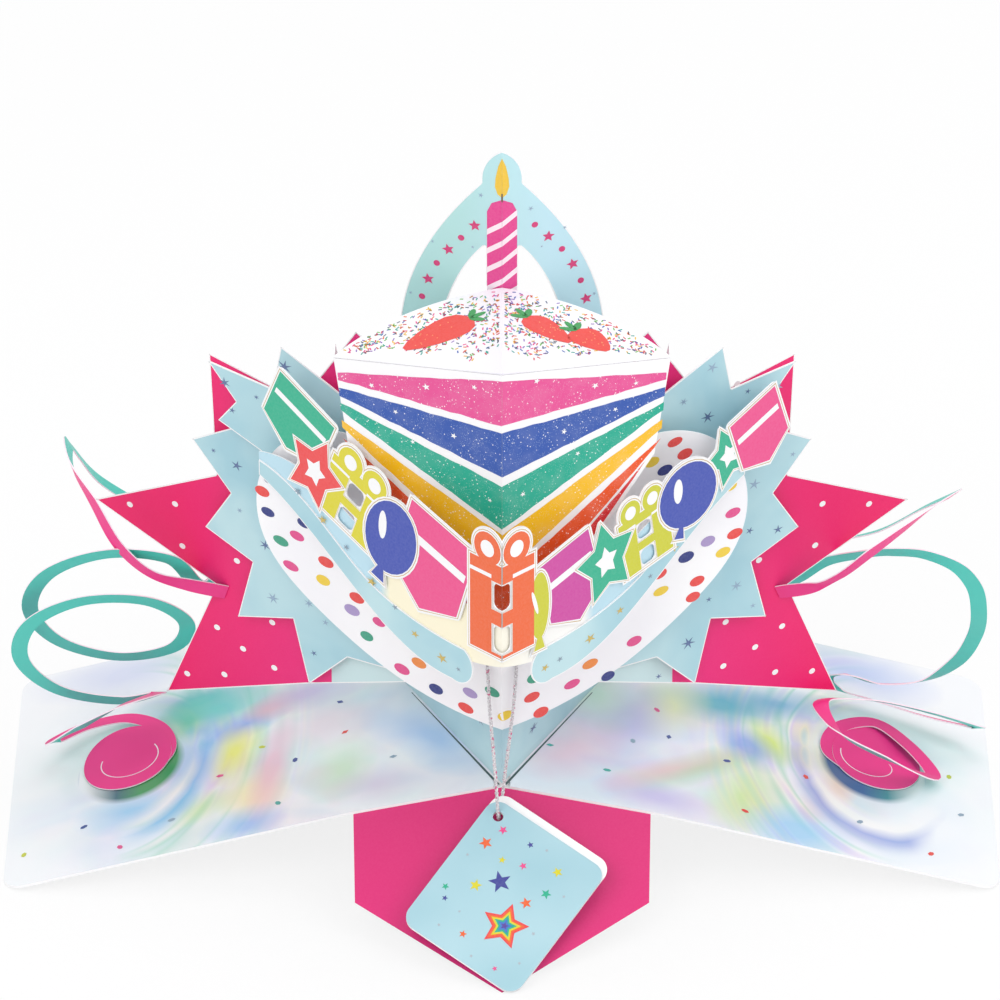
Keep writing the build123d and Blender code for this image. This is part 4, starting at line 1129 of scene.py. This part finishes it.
def charm_parts(kind, wide, tall, inset):
    """Outlines of one party shape, drawn in from its cut edges by the inset."""
    if kind == "pennant":
        half, top, foot = wide / 2 - inset, tall / 2 - inset, tall / 2 - inset * 1.35
        hip = -tall / 4 + inset * 0.3
        return [[(-half, top), (half, top), (half, hip), (0, -foot), (-half, hip)]]
    if kind == "star":
        reach_x, reach_z = wide / 2 - inset * 1.5, tall / 2 - inset * 1.5
        return [[(x * reach_x, z * reach_z) for x, z in star_outline(1, 5, STAR_WAIST)]]
    if kind == "balloon":
        knot = tall / 8
        body = moved(oval(wide - inset * 2, tall - knot - inset * 2, corners=28), 0, knot / 2)
        tie = [(0, knot - tall / 3), (knot - inset, inset - tall / 2), (inset - knot, inset - tall / 2)]
        return [body] + ([tie] if knot > inset * 1.3 else [])
    bow = wide * BOW_SHARE
    loop = oval((bow - inset) * 2, (bow - inset) * 2)
    parts = [moved(loop, side * wide / 5, tall / 2 - bow) for side in (-1, 1)]
    half, lid, foot = wide / 2 - inset, tall * (BOX_SHARE - 0.5) - inset, inset - tall / 2
    rim = inset * PANE_RIM
    pane = wide / 8 + rim
    parts += rectangle(-half, -pane, foot, lid) + rectangle(pane, half, foot, lid)
    parts += rectangle(-pane, pane, tall / 10 + rim, lid)
    parts += rectangle(-pane, pane, tall * (0.1 - 1 / 3) + rim, -tall / 10 - rim)
    return parts + rectangle(-pane, pane, foot, -tall * (0.1 + 1 / 3) - rim)


def trim_parts(kind, wide, tall):
    """White trim inside one party shape."""
    if kind == "pennant":
        half = wide / 2 - FILL_INSET - 1
        return [[(-half, tall * 0.12), (half, tall * 0.12), (half, tall * 0.2), (-half, tall * 0.2)]]
    if kind == "star":
        return [[(x * wide * 0.17, z * tall * 0.17) for x, z in star_outline(1, 5, STAR_WAIST)]]
    if kind == "balloon":
        return [moved(oval(wide * 0.14, tall * 0.3, 16), -wide * 0.18, tall * 0.12)]
    bow, half = wide * BOW_SHARE, wide / 2 - FILL_INSET
    lid = tall * (BOX_SHARE - 0.5) - FILL_INSET
    loops = [moved(oval(bow * 0.8, bow * 0.8), side * wide / 5, tall / 2 - bow) for side in (-1, 1)]
    pane = wide / 8 + FILL_INSET * PANE_RIM
    lines = rectangle(-half, -pane, lid - tall * 0.12, lid - tall * 0.09)
    return loops + lines + rectangle(pane, half, lid - tall * 0.12, lid - tall * 0.09)


def half_outline(outline, side):
    """The part of a rounded or square outline that lies on one side of the fold."""
    places = []
    for (x, z), (next_x, next_z) in zip(outline, outline[1:] + outline[:1]):
        if side * x >= 0:
            places.append((x, z))
        if x * next_x < 0:
            places.append((side * FOLD_CLEAR, z + (next_z - z) * x / (x - next_x)))
    return places


def banner_place(along, height, lift=0.0):
    """Places on the banner's front, from the way along its wing and the height."""
    shrink = math.cos(math.radians(BANNER_SWEEP))
    return on_sheet(BANNER_FOLD, BANNER_SWEEP)(along * shrink, height, lift)


def charm_shapes(kind, wide, tall, fill):
    """One party shape's outlines from its border inwards, each with its ink and height in the print."""
    size = (wide * WING_LENGTH, tall * BANNER_TOP)
    inks = ((BORDER_INSET, WHITE), (GILT_INSET, GILT), (WHITE_INSET, WHITE), (FILL_INSET, colour(*fill)))
    levels = [(charm_parts(kind, *size, inset), ink) for inset, ink in inks]
    levels.append((trim_parts(kind, *size), WHITE))
    return [
        (outline, ink, LAYER_LIFT * level + PART_LIFT * part)
        for level, (outlines, ink) in enumerate(levels)
        for part, outline in enumerate(outlines)
    ]


def white_tone(card, x, z):
    """Plain white."""
    return colour(253, 252, 253)


dress("banner", card_finish("banner_card", BANNER_SWEEP, white_tone, 0.4))
charms = Print(banner_place)
for order, (kind, along, height, wide, tall, tilt, fill) in enumerate(CHARMS):
    base = PRINT_LIFT + LAYER_LIFT * 5 * (order % 2)
    for outline, charm_ink, lift in charm_shapes(kind, wide, tall, fill):
        spot = moved(turned(outline, math.radians(tilt)), along * WING_LENGTH, height * BANNER_TOP)
        charms.shape(spot, charm_ink, base + lift)
centre_wide, centre_tall, centre_height = CENTRE_PRESENT
for outline, charm_ink, lift in charm_shapes("present", centre_wide, centre_tall, ORANGE):
    for side in (-1, 1):
        half = half_outline(outline, side)
        if len(half) > 2:
            spot = moved(half, 0, centre_height * BANNER_TOP)
            charms.shape(spot, charm_ink, PRINT_LIFT + LAYER_LIFT * 5 + lift)
charms.finished("banner_print", ink_finish("banner_ink", 0.35))

# Cut edges
# Die cutting leaves the white core of the card showing as a fine line round each printed sheet,
# slightly crushed over on to its front.
CUT_EDGE = 0.34
FACING_FRONT = 0.98
FACING_SIDE = 0.3
CUT_SHEETS = (
    ("pink_star", PINK_SWEEP), ("blue_star", BLUE_SWEEP), ("upper_star", UPPER_SWEEP),
    ("left_ribbon", RIBBON_SWEEP), ("right_ribbon", RIBBON_SWEEP), ("candle_arch", ARCH_SWEEP),
)


def cut_edges(node, sweep):
    """Fine strips inside a sheet's front outline, where its front meets its cut sides."""
    bm = bmesh.new()
    sheet = bmesh.new()
    sheet.from_mesh(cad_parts[node].data)
    bmesh.ops.remove_doubles(sheet, verts=sheet.verts[:], dist=0.001 * MM)
    angle = math.radians(sweep)
    for edge in sheet.edges:
        if len(edge.link_faces) != 2:
            continue
        middle = (edge.verts[0].co + edge.verts[1].co) / 2
        ahead = Vector((math.copysign(math.sin(angle), middle.x), -math.cos(angle), 0))
        first, second = sorted(edge.link_faces, key=lambda face: face.normal.dot(ahead))
        if second.normal.dot(ahead) < FACING_FRONT or first.normal.dot(ahead) > FACING_SIDE:
            continue
        start, end = (vert.co + ahead * PRINT_LIFT / 2 * MM for vert in edge.verts)
        inward = ahead.cross(end - start).normalized()
        if inward.dot(second.calc_center_median() - start) < 0:
            inward.negate()
        corners = [start, end, end + inward * CUT_EDGE * MM, start + inward * CUT_EDGE * MM]
        strip = bm.faces.new([bm.verts.new(corner) for corner in corners])
        strip.normal_update()
        if strip.normal.dot(ahead) < 0:
            strip.normal_flip()
    sheet.free()
    return bm


card_core = Finish("card_core", roughness=0.6, Base_Color=WHITE)
for sheet_name, sheet_sweep in CUT_SHEETS:
    edge_name = sheet_name + "_cut_edge"
    piece(edge_name, finished_mesh(edge_name, cut_edges(sheet_name, sheet_sweep)), card_core)

# Springs
# Each is cut from thin card as a spiral round a disc, printed pink on one face and teal on the
# other, with white cut edges. The disc's front is glued on its board and its back lifts a little.
SPRING_PINK = colour(242, 54, 140)
SPRING_TEAL = colour(74, 204, 188)
SPRING_EDGE = colour(250, 232, 242)
SPRING_RISE = 105
SPRING_ENDS = (83.5, 73.4)
SPRING_GAP = 0.02
SHARP_EDGE = math.radians(50)
STRIP_WIDE = 5
STRIP_THICK = 0.4
STRIP_COLUMNS = 6
STATIONS = 9
DISC_RADIUS = 14
DISC_LIFT = 0.25
DISC_BACK_LIFT = 1.6
DISC_BACK_GROWTH = 2.4
DISC_FRONT_GROWTH = 1.8
BOARD_SLOPE = math.atan2(27.7, 105.3)
BOARD_FACE = (math.sin(BOARD_SLOPE), 0, math.cos(BOARD_SLOPE))
EDGE_ON = (0, 0.5, 0.866)
COIL_FACE = (0, 0.866, 0.5)
HIDDEN_FACE = (0, 0.866, -0.5)
STAR_FACE = (math.sin(math.radians(PINK_SWEEP)), -math.cos(math.radians(PINK_SWEEP)), 0)
COIL_RADIUS = 25
COIL_TURN = (-75, -720)
COIL_STEPS = 14
START_SHARES = ((-0.084, -0.071, 0.0272),)
COIL_FOOT_SHARES = (0.085, 0.038, 0.318)
COIL_HEAD_SHARES = (0.021, 0.038, 0.588)
LEFT_LOW_SHARES = (
    (-0.116, 0, 0.036), (-0.087, 0.128, 0.038), (0.003, 0.201, 0.026), (0.124, 0.167, 0.021),
    (0.225, 0.076, 0.021), (0.139, 0, 0.12), (0.019, 0, 0.192), (-0.09, 0.076, 0.192),
)
LEFT_TOP_SHARES = (
    (-0.267, 0.153, 0.573), (-0.183, 0.248, 0.631), (-0.038, 0.285, 0.705), (0.075, 0.267, 0.8),
    (0.139, 0.171, 0.949), (0.153, 0.076, 1.028), (0.139, -0.019, 1.012), (0.08, -0.076, 0.931),
    (0.001, -0.096, 0.783), (-0.086, -0.076, 0.685), (-0.188, -0.048, 0.633),
)
RIGHT_SHARES = (
    (-0.135, -0.01, 0.04), (-0.099, 0.124, 0.044), (-0.004, 0.171, 0.031), (0.098, 0.076, 0.012),
    (0.167, -0.057, -0.012), (0.015, -0.128, 0.097), (-0.129, -0.114, 0.19), (-0.166, -0.038, 0.22),
    (-0.043, 0.058, 0.179), (0.169, 0.115, 0.098), (0.31, 0.171, 0.012), (0.189, 0.219, 0.012),
    (0.008, 0.257, 0.053), (-0.11, 0.267, 0.093), (-0.14, 0.242, 0.14), (-0.096, 0.214, 0.171),
    (0.021, 0.21, 0.14), (0.149, 0.201, 0.159), (0.241, 0.171, 0.242), (0.285, 0.115, 0.359),
    (0.291, 0.038, 0.493), (0.268, -0.019, 0.615), (0.212, -0.057, 0.7), (0.119, -0.057, 0.74),
    (0.024, -0.024, 0.728), (-0.066, 0.047, 0.676), (-0.158, 0.115, 0.613), (-0.238, 0.181, 0.516),
    (-0.29, 0.257, 0.45), (-0.257, 0.305, 0.464), (-0.133, 0.333, 0.544), (0.014, 0.324, 0.598),
    (0.136, 0.276, 0.702), (0.209, 0.181, 0.798), (0.212, 0.086, 0.858), (0.156, -0.01, 0.879),
    (0.065, -0.085, 0.847), (-0.035, -0.124, 0.785), (-0.125, -0.1, 0.692), (-0.191, -0.062, 0.635),
)
LEFT_ARM_FACES = [
    (0.8, 0.05, -0.6), (0.84, -0.1, -0.53), (0.852, -0.21, -0.48), (0.852, -0.25, -0.46),
    (0.852, -0.33, -0.4), (0.75, -0.64, -0.21), (0.55, -0.79, -0.285), (0.57, -0.8, -0.2),
]
RIGHT_ARM_FACES = [
    *[(0.56, -0.415, -0.72)] * 6, (0.53, -0.655, -0.534), (0.5, -0.776, -0.38), (0.5, -0.8, -0.35),
]
LEFT_COIL_FACES = [EDGE_ON] * 3 + [COIL_FACE] * (COIL_STEPS + 1) + [HIDDEN_FACE] * 2
RIGHT_COIL_FACES = [EDGE_ON] * 13 + [COIL_FACE] * 11 + [HIDDEN_FACE]
LEFT_FACES = [BOARD_FACE] * 6 + LEFT_COIL_FACES + LEFT_ARM_FACES + [STAR_FACE] * 2
RIGHT_FACES = [BOARD_FACE] * 6 + RIGHT_COIL_FACES + RIGHT_ARM_FACES + [STAR_FACE] * 2


def spring_places(shares, side):
    """A route's places in millimetres, from shares of the spring's height about its disc."""
    disc = board_top(side * DISC_OUT, DISC_PLACE) / MM
    return [disc + Vector((side * x, y, z)) * SPRING_RISE for x, y, z in shares]


def spring_end(side):
    """Where a spring's end lies on the front of the pink star."""
    end_out, end_height = SPRING_ENDS
    return on_sheet(0, PINK_SWEEP)(side * end_out, end_height, STRIP_THICK / 2 + SPRING_GAP) / MM


def left_coil():
    """Two turns of the left spring, leaning back and rising."""
    foot, head = spring_places((COIL_FOOT_SHARES, COIL_HEAD_SHARES), -1)
    places = []
    for k in range(COIL_STEPS + 1):
        share = k / COIL_STEPS
        turn = math.radians(COIL_TURN[0] + (COIL_TURN[1] - COIL_TURN[0]) * share)
        ring = Vector((math.cos(turn), -math.sin(turn) * COIL_FACE[2], math.sin(turn) * COIL_FACE[1]))
        places.append(foot.lerp(head, share) + ring * COIL_RADIUS)
    return places


def smooth_stations(route, faces, side):
    """Places, headings and face directions along a smooth curve through a spring's route."""
    gaps = [(there - here).length for here, there in zip(route, route[1:])]
    pulls = [(route[1] - route[0]) / gaps[0]]
    for k in range(1, len(route) - 1):
        before = (route[k] - route[k - 1]) / gaps[k - 1]
        after = (route[k + 1] - route[k]) / gaps[k]
        pulls.append((before * gaps[k] + after * gaps[k - 1]) / (gaps[k - 1] + gaps[k]))
    pulls.append((route[-1] - route[-2]) / gaps[-1])
    stations = []
    last = len(gaps) - 1
    for k in range(len(gaps) * STATIONS + 1):
        span = min(k // STATIONS, last)
        t = k / STATIONS - span
        jump = route[span + 1] - route[span]
        pull_in, pull_out = pulls[span] * gaps[span], pulls[span + 1] * gaps[span]
        bend, twist = jump * 3 - pull_in * 2 - pull_out, pull_in + pull_out - jump * 2
        place = route[span] + pull_in * t + bend * t**2 + twist * t**3
        heading = (pull_in + bend * 2 * t + twist * 3 * t**2).normalized()
        face = Vector(faces[span]).lerp(Vector(faces[span + 1]), t)
        face.x *= side
        stations.append((place, heading, (face - heading * face.dot(heading)).normalized()))
    return stations


def add_strip(bm, ink, stations):
    """A thin strip of card along its stations, with its own colour on each of its four sides."""
    spread = [2 * k / STRIP_COLUMNS - 1 for k in range(STRIP_COLUMNS + 1)]
    profile = [(wide, 1) for wide in spread] + [(-wide, -1) for wide in spread]
    tones = [SPRING_PINK] * STRIP_COLUMNS + [SPRING_EDGE] + [SPRING_TEAL] * STRIP_COLUMNS + [SPRING_EDGE]
    rings = []
    for place, heading, face in stations:
        across = face.cross(heading)
        corners = []
        for wide, thick in profile:
            corner = place + across * wide * STRIP_WIDE / 2 + face * thick * STRIP_THICK / 2
            corners.append(bm.verts.new(corner * MM))
        rings.append(corners)
    for here, there in zip(rings, rings[1:]):
        for k, tone in enumerate(tones):
            ahead = (k + 1) % len(tones)
            paint_face(bm, ink, (here[k], here[ahead], there[ahead], there[k]), tone)
    paint_face(bm, ink, rings[0][::-1], SPRING_EDGE)
    paint_face(bm, ink, rings[-1], SPRING_EDGE)


def paint_face(bm, ink, corners, tone):
    """Adds one face in one colour."""
    face = bm.faces.new(corners)
    face.smooth = True
    for loop in face.loops:
        loop[ink] = tone


def disc_place(side):
    """Places on a spring's disc, out from its middle down the board and back."""
    middle = board_top(side * DISC_OUT, DISC_PLACE)
    down = Vector((side * math.cos(BOARD_SLOPE), 0, -math.sin(BOARD_SLOPE)))
    up = Vector((side * BOARD_FACE[0], 0, BOARD_FACE[2]))

    def surface(out, back, lift=0.0):
        raised = DISC_BACK_LIFT * max(0, (back + DISC_RADIUS) / DISC_RADIUS / 2) ** 2
        level = DISC_LIFT + STRIP_THICK + raised + lift
        return middle + (down * out + Vector((0, back, 0)) + up * level) * MM

    return surface


def add_disc(bm, ink, surface, rings=6, sectors=64):
    """The spring's round disc of card, closed, with its back edge a little raised."""
    levels = {}
    for sheet, lift in ((0, 0), (1, -STRIP_THICK)):
        levels[sheet] = [[bm.verts.new(surface(0, 0, lift))]]
        for ring in range(1, rings + 1):
            places = []
            for k in range(sectors):
                angle = 2 * math.pi * k / sectors
                growth = DISC_BACK_GROWTH if math.sin(angle) > 0 else DISC_FRONT_GROWTH
                reach = (DISC_RADIUS + growth * math.sin(angle) ** 2) * ring / rings
                places.append(bm.verts.new(surface(math.cos(angle) * reach, math.sin(angle) * reach, lift)))
            levels[sheet].append(places)
    for sheet, tone in ((0, SPRING_PINK), (1, SPRING_TEAL)):
        middle, *circles = levels[sheet]
        for k in range(sectors):
            ahead = (k + 1) % sectors
            paint_face(bm, ink, (middle[0], circles[0][k], circles[0][ahead]), tone)
            for inner, outer in zip(circles, circles[1:]):
                paint_face(bm, ink, (inner[k], outer[k], outer[ahead], inner[ahead]), tone)
    for k in range(sectors):
        ahead = (k + 1) % sectors
        rim = (levels[0][-1][k], levels[1][-1][k], levels[1][-1][ahead], levels[0][-1][ahead])
        paint_face(bm, ink, rim, SPRING_EDGE)


CUT_WIDTH = 0.34
CUT_STEPS = 40
LEFT_ROUTE = spring_places(START_SHARES + LEFT_LOW_SHARES, -1) + left_coil()
LEFT_ROUTE += spring_places(LEFT_TOP_SHARES, -1)
RIGHT_ROUTE = spring_places(START_SHARES + RIGHT_SHARES, 1)
SPRINGS = (
    (-1, "left", LEFT_ROUTE, LEFT_FACES, (150, 372, 9.8, 8.2)),
    (1, "right", RIGHT_ROUTE, RIGHT_FACES, (172, 343, 11.4, 4.2)),
)
spring_ink = Finish("spring_card", roughness=0.42)
spring_ink.feed("Base Color", spring_ink.ink())
spring_ink.grain(1500, 0.12)
for side, side_name, route, faces, cut_path in SPRINGS:
    spring_bm = bmesh.new()
    ink_layer = spring_bm.loops.layers.float_color.new("ink")
    add_strip(spring_bm, ink_layer, smooth_stations(route + [spring_end(side)], faces, side))
    add_disc(spring_bm, ink_layer, disc_place(side))
    bmesh.ops.recalc_face_normals(spring_bm, faces=spring_bm.faces[:])
    for edge in spring_bm.edges:
        edge.smooth = edge.calc_face_angle(0) < SHARP_EDGE
    spring_name = side_name + "_paper_spring"
    paper_spring = piece(spring_name, finished_mesh(spring_name, spring_bm), spring_ink)
    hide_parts(side_name + "_spring")
    cut = Print(disc_place(side))
    start_turn, end_turn, start_reach, end_reach = cut_path
    for k in range(CUT_STEPS):
        corners = []
        for step, offset in ((k, -1), (k + 1, -1), (k + 1, 1), (k, 1)):
            share = step / CUT_STEPS
            angle = math.radians(start_turn + (end_turn - start_turn) * share)
            reach = start_reach + (end_reach - start_reach) * share**2.5 + offset * CUT_WIDTH / 2
            corners.append((math.cos(angle) * reach, math.sin(angle) * reach))
        cut.shape(corners, SPRING_EDGE)
    cut.finished(side_name + "_disc_cut", ink_finish(side_name + "_cut_edge"))

# Booklet
# A small folded sheet, pale aqua outside and white inside, its front leaf a little shorter. A
# scatter of foil stars round one banded star is printed on the front.
BOOKLET_SIZE = (41.5, 51)
BOOKLET_TURN = math.radians(35.5)
BOOKLET_SLOPE = math.atan2(41.8, 55)
BOOKLET_FOOT = (1.4, -88.5, 0.6)
BOOKLET_DOWN = 2.25
FRONT_LEVEL = 1.3
up_slope = Vector((0, math.cos(BOOKLET_SLOPE), math.sin(BOOKLET_SLOPE)))
slope_face = Vector((0, -math.sin(BOOKLET_SLOPE), math.cos(BOOKLET_SLOPE)))
booklet_across = Vector((math.cos(BOOKLET_TURN), 0, 0)) - up_slope * math.sin(BOOKLET_TURN)
booklet_up = Vector((math.sin(BOOKLET_TURN), 0, 0)) + up_slope * math.cos(BOOKLET_TURN)
half_tall = (BOOKLET_SIZE[0] * math.sin(BOOKLET_TURN) + BOOKLET_SIZE[1] * math.cos(BOOKLET_TURN)) / 2
booklet_middle = Vector(BOOKLET_FOOT) + up_slope * (half_tall - BOOKLET_DOWN)


def on_booklet(across, up, lift=0.0):
    """Places on the booklet's front leaf, from its middle."""
    level = slope_face * (FRONT_LEVEL + lift)
    return (booklet_middle + booklet_across * across + booklet_up * up + level) * MM


booklet = Finish("booklet_card", roughness=0.35)
x, y, z = booklet.place()
nx, ny, nz = booklet.facing()
level = (z - booklet_middle.z) * slope_face.z + (y - booklet_middle.y) * slope_face.y
facing_out = (nz * slope_face.z + ny * slope_face.y).size() > 0.8
outside = facing_out * ((level > FRONT_LEVEL - 0.1) + (level < 0.1))
watercolour = booklet.noise(26, 2.0).ramp(0.35, 0.65)
booklet_tone = booklet.mix(watercolour, colour(162, 204, 216), colour(180, 216, 226))
booklet.feed("Base Color", booklet.mix(outside, WHITE, booklet_tone))
booklet.grain(1500, 0.15)
dress("message_booklet", booklet)
BOOKLET_STARS = (
    (PINK, ((-12.4, 15.5, 1.5), (-0.9, 9.7, 1.3), (11.0, -21.6, 0.9))),
    (ORANGE, ((-14.2, 9.2, 2.1), (6.6, 0.6, 1.9), (-3.0, -18.2, 1.3))),
    ((56, 62, 150), ((-3.0, 16.4, 1.1), (-3.6, 1.6, 3.6), (-14.0, -12.1, 1.0))),
    (YELLOW, ((-7.1, 7.6, 1.2), (8.6, 14.0, 1.7), (-8.9, -3.5, 2.0))),
    (GREEN, ((9.8, 6.4, 1.7), (-16.0, -9.0, 1.2))),
    ((176, 186, 196), ((-16.5, 3.0, 0.6), (2.0, 17.8, 0.6), (14.0, -6.0, 0.7), (-10.5, -20.0, 0.6),
                       (14.6, 8.8, 0.6), (-8.0, -13.0, 0.5), (16.0, -16.0, 0.6), (3.0, -22.4, 0.6))),
)
BANDED_STAR = (5.6, -9.0, 7.4, -16)
BAND_INKS = (RED, ORANGE, YELLOW, GREEN, (60, 120, 200), VIOLET)
booklet_print = Print(on_booklet)
for star_ink, places in BOOKLET_STARS:
    booklet_print.stars(places, colour(*star_ink), 0.42, (-25, 25))
star_across, star_up, star_reach, star_tilt = BANDED_STAR
for band, band_ink in enumerate(BAND_INKS):
    scale = star_reach * (1 - band / len(BAND_INKS))
    nested = star_outline(scale, 5, 0.5, star_tilt)
    booklet_print.shape(moved(nested, star_across, star_up), colour(*band_ink), PRINT_LIFT * (1 + band * 0.5))
booklet_print.finished("booklet_print", ink_finish("booklet_ink", 0.3))
